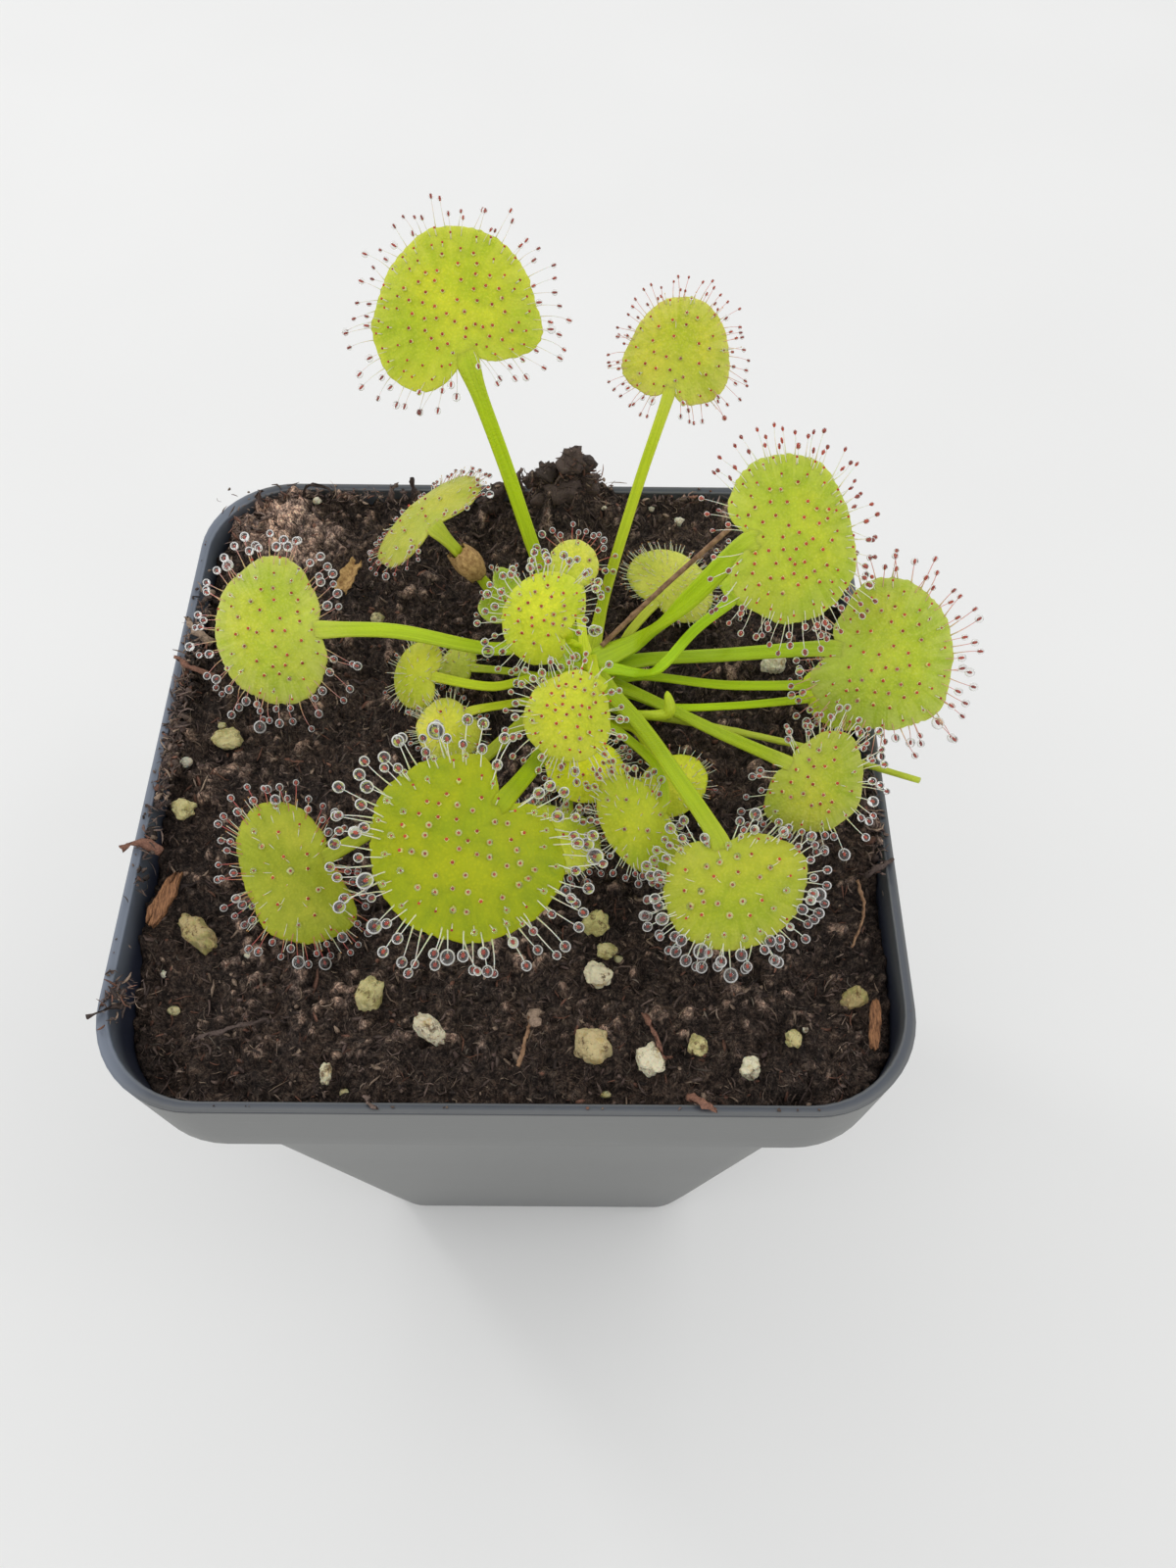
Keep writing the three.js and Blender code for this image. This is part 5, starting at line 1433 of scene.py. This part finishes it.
def build_leaf_skin(leaf, blades):
    """A leaf's blade or blades and its petiole, in one piece."""
    skin, blade = Batch(), blades[0]
    around, rings, steps = LARGE_MESH if leaf.across > LARGE else SMALL_MESH
    for each in blades:
        build_blade(skin, each, around, rings)
    points = petiole_points(leaf, blade)
    path = smooth_path(points, steps)
    share = np.linspace(0, 1, steps)
    at_notch = share[np.argmin(np.linalg.norm(path - points[-3], axis=1))]
    beyond = np.clip((share - at_notch) / (1 - at_notch), 0, 1)
    along = np.clip(share / at_notch, 0, 1)
    spread = SPREADS.get(leaf.name, PLAIN_SPREAD)
    halfway = (spread.half - 1) * np.sin(math.pi * np.clip(along * 0.8, 0, 1))
    into_blade = (spread.blade - 1) * bell((share - at_notch - 0.02) / 0.07)
    shape = (0.95 + halfway + 0.55 * bell(share / 0.13) + into_blade) * (1 - 0.45 * beyond)
    turn = np.clip((along - 0.35) / 0.65, 0, 1)[:, None]
    ups = unit((1 - turn) * np.array([0.0, 0.0, 1.0]) + turn * blade.up + 1e-6)
    height = PETIOLE_HEIGHT * leaf.stalk * (1 - 0.5 * beyond)
    stalk = 1 - 0.5 * bell((along - 1) / 0.12) - 0.4 * beyond
    pale = 0.25 * bell(share / 0.1) + 0.1 * bell((share - at_notch) / 0.08)
    build_petiole(skin, path, ups, leaf.stalk * shape, height, stalk, pale)
    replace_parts(skin.piece(f"{leaf.name}_skin", SLOTS[leaf.name], tone=TONES[leaf.name]), leaf.name)


# ---------------------------------------------------------------- tentacles and drops

STALK_HUES = {
    "disc": (rgb(190, 200, 60), rgb(226, 224, 136)),
    "hair": (rgb(196, 204, 110), rgb(232, 230, 214)),
    "clear": (rgb(204, 212, 120), rgb(234, 232, 216)),
    "wisp": (rgb(206, 210, 140), rgb(226, 220, 206)),
    "milky": (rgb(216, 222, 160), rgb(236, 234, 220)),
    "blush": (rgb(206, 196, 128), rgb(216, 150, 142)),
    "pink": (rgb(196, 166, 110), rgb(196, 88, 88)),
}
GLAND_RED = np.array(rgb(200, 72, 34))
GLAND_DARK = np.array(rgb(146, 40, 18))
AMBER = np.array(rgb(206, 140, 66))
PALE_AMBER = np.array(rgb(224, 206, 150))

Tentacles = namedtuple("Tentacles", "foot way curl length stalk taper gland drop")
# How thick a stalk is along it, from its foot to its tip: a slender one, and a button in a cup.
THIN = (1.9, 1.1, 0.95, 0.85, 0.75)
CUPPED = (3.4, 2.5, 2.8, 3.1, 2.7)
BUTTONS_TO = 0.68  # how far out on the blade the buttons stand

# The rows along the margin: their number beside the outer row's, how far out they stand, how much they
# rise, and their length beside the outer row's.
Row = namedtuple("Row", "share out rise length")
ROWS = (Row(1.0, 0.985, 0.1, 1.0), Row(0.65, 0.88, 0.5, 0.66))
NOTCH_GAP = 0.16  # how near to the notch they come, in radians
BIG_DROPS = 0.06  # the share of drops that are larger
BIG_DROP = 1.45  # and how much larger they are


def scatter(blade, count, rng, limit=0.88, choices=14):
    """Places on the blade that keep about the same distance from each other."""
    angles, outs, places = [], [], []
    half = np.array([blade.leaf.across, blade.leaf.along]) / 2
    for _ in range(count):
        angle = rng.uniform(-math.pi, math.pi, choices)
        out = np.sqrt(rng.uniform(0, 1, choices)) * limit
        flat = np.c_[np.sin(angle), np.cos(angle)] * (out * blade.margin(angle))[:, None] * half
        best = 0
        if places:
            gaps = np.linalg.norm(flat[:, None] - np.array(places)[None], axis=2).min(1)
            best = int(np.argmax(gaps))
        angles.append(angle[best])
        outs.append(out[best])
        places.append(flat[best])
    return np.array(angles), np.array(outs)


def disc_tentacles(blade, dress, rng):
    """The tentacles all over the blade: in its middle buttons in pale cups, and towards the margin ever
    longer ones that lean outwards."""
    angle, out = scatter(blade, dress.disc, rng)
    normal, outward = blade.normal(angle, out), blade.outward(angle)
    way = unit(normal + outward * (0.05 + 1.0 * out**4)[:, None] + rng.normal(0, 0.08, (len(out), 3)))
    length = 0.17 + (0.1 + 0.4 * dress.reach) * out**5 + rng.uniform(-0.05, 0.06, len(out))
    wet = rng.uniform(0, 1, len(out)) < dress.wet
    drop = np.where(wet, dress.disc_drop * rng.uniform(0.75, 1.15, len(out)), 0)
    foot, curl = blade.at(angle, out, 1.0), 0.1 * normal
    kinds = ((out < BUTTONS_TO, 0.085, CUPPED, 0.18), (out >= BUTTONS_TO, 0.06, THIN, 0.15))
    return [Tentacles(foot[some], way[some], curl[some], length[some], stalk, taper, (0.12, gland),
                      drop[some])
            for some, stalk, taper, gland in kinds]


def rim_tentacles(blade, dress, rng):
    """Two uneven rows of long tentacles along the margin."""
    found = []
    for row in ROWS:
        count = max(3, round(dress.rim * row.share))
        angle = (np.arange(count) + rng.uniform(-0.4, 0.4, count) + 0.5) / count * 2 - 1
        angle *= math.pi - NOTCH_GAP
        out = np.clip(row.out + rng.uniform(-0.03, 0.012, count), 0, 0.995)
        normal, outward = blade.normal(angle, out), blade.outward(angle)
        way = unit(outward + row.rise * normal + rng.normal(0, 0.14, (count, 3)))
        length = dress.reach * row.length * rng.uniform(0.68, 1.15, count)
        lean = 1 - dress.lean * outward[:, 1]
        drop = dress.drop * lean * rng.uniform(0.72, 1.08, count)
        big = rng.uniform(0, 1, count) < BIG_DROPS
        curl = 0.25 * normal + 0.08 * rng.normal(0, 1, (count, 3))
        found.append(Tentacles(blade.at(angle, out, 0.4), way, curl, length, PLAIN_STALK * dress.stalk, THIN,
                               dress.gland, np.where(big, BIG_DROP * drop, drop)))
    return found


def hairs(blade, dress, rng):
    """Fine short stalks, some with a tiny gland."""
    angle, out = scatter(blade, dress.hairs, rng, 0.99, 6)
    out = np.where(rng.uniform(0, 1, len(out)) < 0.35, rng.uniform(0.95, 0.99, len(out)), out)
    normal, outward = blade.normal(angle, out), blade.outward(angle)
    way = unit(normal + outward * (0.9 + 1.2 * out**2)[:, None] + rng.normal(0, 0.2, (len(out), 3)))
    length = rng.uniform(0.6, 1.1, len(out)) * (0.5 + 0.5 * dress.reach * out**1.5)
    return Tentacles(blade.at(angle, out, 0.9), way, 0.4 * outward, length, 0.045, THIN, (0.09, 0.06),
                     np.zeros(len(out)))


def grow(stalks, drops, group, hue, rng, glands=(GLAND_DARK, GLAND_RED), milky=1.0):
    """Adds a group of tentacles: tapered stalks, glands at their tips between two colours, and the drops
    round these, which magnify them. milky is how white the painted ring of light in the drops is."""
    count, steps, sides = len(group.foot), 5, 4
    share = np.linspace(0, 1, steps)[None, :, None]
    foot = group.foot - 0.08 * group.way
    path = foot[:, None] + group.length[:, None, None] * (
        share * group.way[:, None] + share * (1 - share) * group.curl[:, None])
    radius = group.stalk * np.array(group.taper)
    points, faces = tubes(path, np.broadcast_to(radius, (count, steps)), sides)
    low, high = (np.array(colour) for colour in STALK_HUES[hue])
    ramp = np.clip(share[0] * 1.6, 0, 1)
    colours = np.repeat((1 - ramp) * low + ramp * high, sides, axis=0)
    stalks.add(points, faces, np.tile(colours, (count, 1)))
    end_way = unit(path[:, -1] - path[:, -2])
    long, wide = group.gland
    gland_at = path[:, -1] + end_way * long * 0.8
    wet = group.drop > 0
    size = np.where(wet, 1.25 if milky == 1 else 0.6, 1.0)
    points, faces = balls(gland_at, end_way, long * size, wide * size, 6, 4)
    shade = glands[0] + (glands[1] - glands[0]) * rng.uniform(0, 1, (count, 1))
    stalks.add(points, faces, np.repeat(shade, len(points) // count, 0))
    if wet.any():
        radius = group.drop[wet]
        centre = gland_at[wet] + end_way[wet] * 0.1 * radius[:, None]
        points, faces = balls(centre, end_way[wet], radius * 1.06, radius, 14, 9)
        # The tint's red sets how white the painted ring of light is.
        drops.add(points, faces, (milky, 1, 1))


def dress_leaf(leaf, blades):
    """Gives a leaf its tentacles, hairs and drops."""
    dress, rng = DRESS[leaf.name], seeded(leaf.name + "_tentacles")
    stalks, drops = Batch(), Batch()
    for blade in blades:
        if dress.disc:
            for group, hue in zip(disc_tentacles(blade, dress, rng), ("disc", "hair")):
                # Drops on the blade get only a faint painted ring of light.
                grow(stalks, drops, group, hue, rng, milky=0.14)
        for row in rim_tentacles(blade, dress, rng):
            grow(stalks, drops, row, dress.hue, rng)
        if dress.hairs:
            grow(stalks, drops, hairs(blade, dress, rng), "hair", rng, (AMBER, PALE_AMBER))
    stalks.piece(f"{leaf.name}_tentacles", "tentacle")
    drops.piece(f"{leaf.name}_drops", "mucilage")


# ---------------------------------------------------------------- the build

build_pot()
build_soil()
build_shreds()
build_crumbs()
build_bits()
build_grains()
build_chips()
build_stalks()
build_collar()
build_crown()
for leaf in LEAVES:
    blades = [Blade(each) for each in SCOOPS.get(leaf.name, [leaf])]
    build_leaf_skin(leaf, blades)
    dress_leaf(leaf, blades)

# ---------------------------------------------------------------- floor, light and camera


# Soft lamps: where they hang, how wide they are, and their power.
Lamp = namedtuple("Lamp", "name at size watts")
LAMPS = [
    Lamp("window", (-420, 300, 620), 110, 0.45),
    Lamp("lamp", (380, -60, 700), 100, 0.25),
]


def build_stage():
    """A pale floor and a soft, nearly even light that comes mostly from above."""
    half = 3000
    mesh = bpy.data.meshes.new("floor")
    corners = np.array([(-half, -half, 0), (half, -half, 0), (half, half, 0), (-half, half, 0)])
    mesh.from_pydata((corners * MM).tolist(), [], [[0, 1, 2, 3]])
    shader = Shader("paper", Roughness=0.8, Specular_IOR_Level=0.2)
    shade = shader.steps(shader.noise(120, 2), (0.3, rgb(238, 238, 237)), (0.7, rgb(241, 241, 240)))
    mesh.materials.append(shader.finish(shade))
    sheet = bpy.data.objects.new("floor", mesh)
    bpy.context.scene.collection.objects.link(sheet)

    world = bpy.data.worlds.new("studio")
    world.use_nodes = True
    nodes, links = world.node_tree.nodes, world.node_tree.links
    way = nodes.new("ShaderNodeTexCoord")
    split = nodes.new("ShaderNodeSeparateXYZ")
    links.new(way.outputs["Generated"], split.inputs[0])
    sky = nodes.new("ShaderNodeValToRGB")
    sky.color_ramp.elements[0].color = (0.97, 0.98, 0.99, 1)
    sky.color_ramp.elements[1].color = (0.88, 0.88, 0.88, 1)
    links.new(split.outputs["Z"], sky.inputs["Fac"])
    links.new(sky.outputs["Color"], nodes["Background"].inputs["Color"])
    bpy.context.scene.world = world

    for lamp in LAMPS:
        light = bpy.data.lights.new(lamp.name, "AREA")
        light.energy = lamp.watts
        light.size = lamp.size * MM
        made = bpy.data.objects.new(lamp.name, light)
        made.location = Vector(lamp.at) * MM
        aim = Vector((0, 0, POT_HEIGHT)) * MM - made.location
        made.rotation_euler = aim.to_track_quat("-Z", "Y").to_euler()
        bpy.context.scene.collection.objects.link(made)
    view = bpy.context.scene.view_settings
    view.view_transform = "Standard"
    view.look = "None"


PHOTO_HEIGHT = 1600  # pixels
FOCAL = 1202  # pixels
CAMERA_AT = (7.3, -69.3, 220.3)
PITCH, YAW, ROLL = 59.48, 0.42, 0.83  # degrees down, to the right, and clockwise
SENSOR = 36


def build_camera():
    """The photo's camera."""
    pitch, yaw, roll = (math.radians(a) for a in (PITCH, YAW, ROLL))
    forward = Vector((math.sin(yaw) * math.cos(pitch), math.cos(yaw) * math.cos(pitch), -math.sin(pitch)))
    right = Vector((math.cos(yaw), -math.sin(yaw), 0))
    up = right.cross(forward)
    turned_right = right * math.cos(roll) + up * math.sin(roll)
    turned_up = up * math.cos(roll) - right * math.sin(roll)
    data = bpy.data.cameras.new("camera")
    data.sensor_width = SENSOR
    data.lens = FOCAL / PHOTO_HEIGHT * SENSOR
    data.clip_start = MM
    camera = bpy.data.objects.new("camera", data)
    turn = Matrix((turned_right, turned_up, -forward)).transposed().to_4x4()
    camera.matrix_world = Matrix.Translation(Vector(CAMERA_AT) * MM) @ turn
    bpy.context.scene.collection.objects.link(camera)
    bpy.context.scene.camera = camera


build_stage()
build_camera()
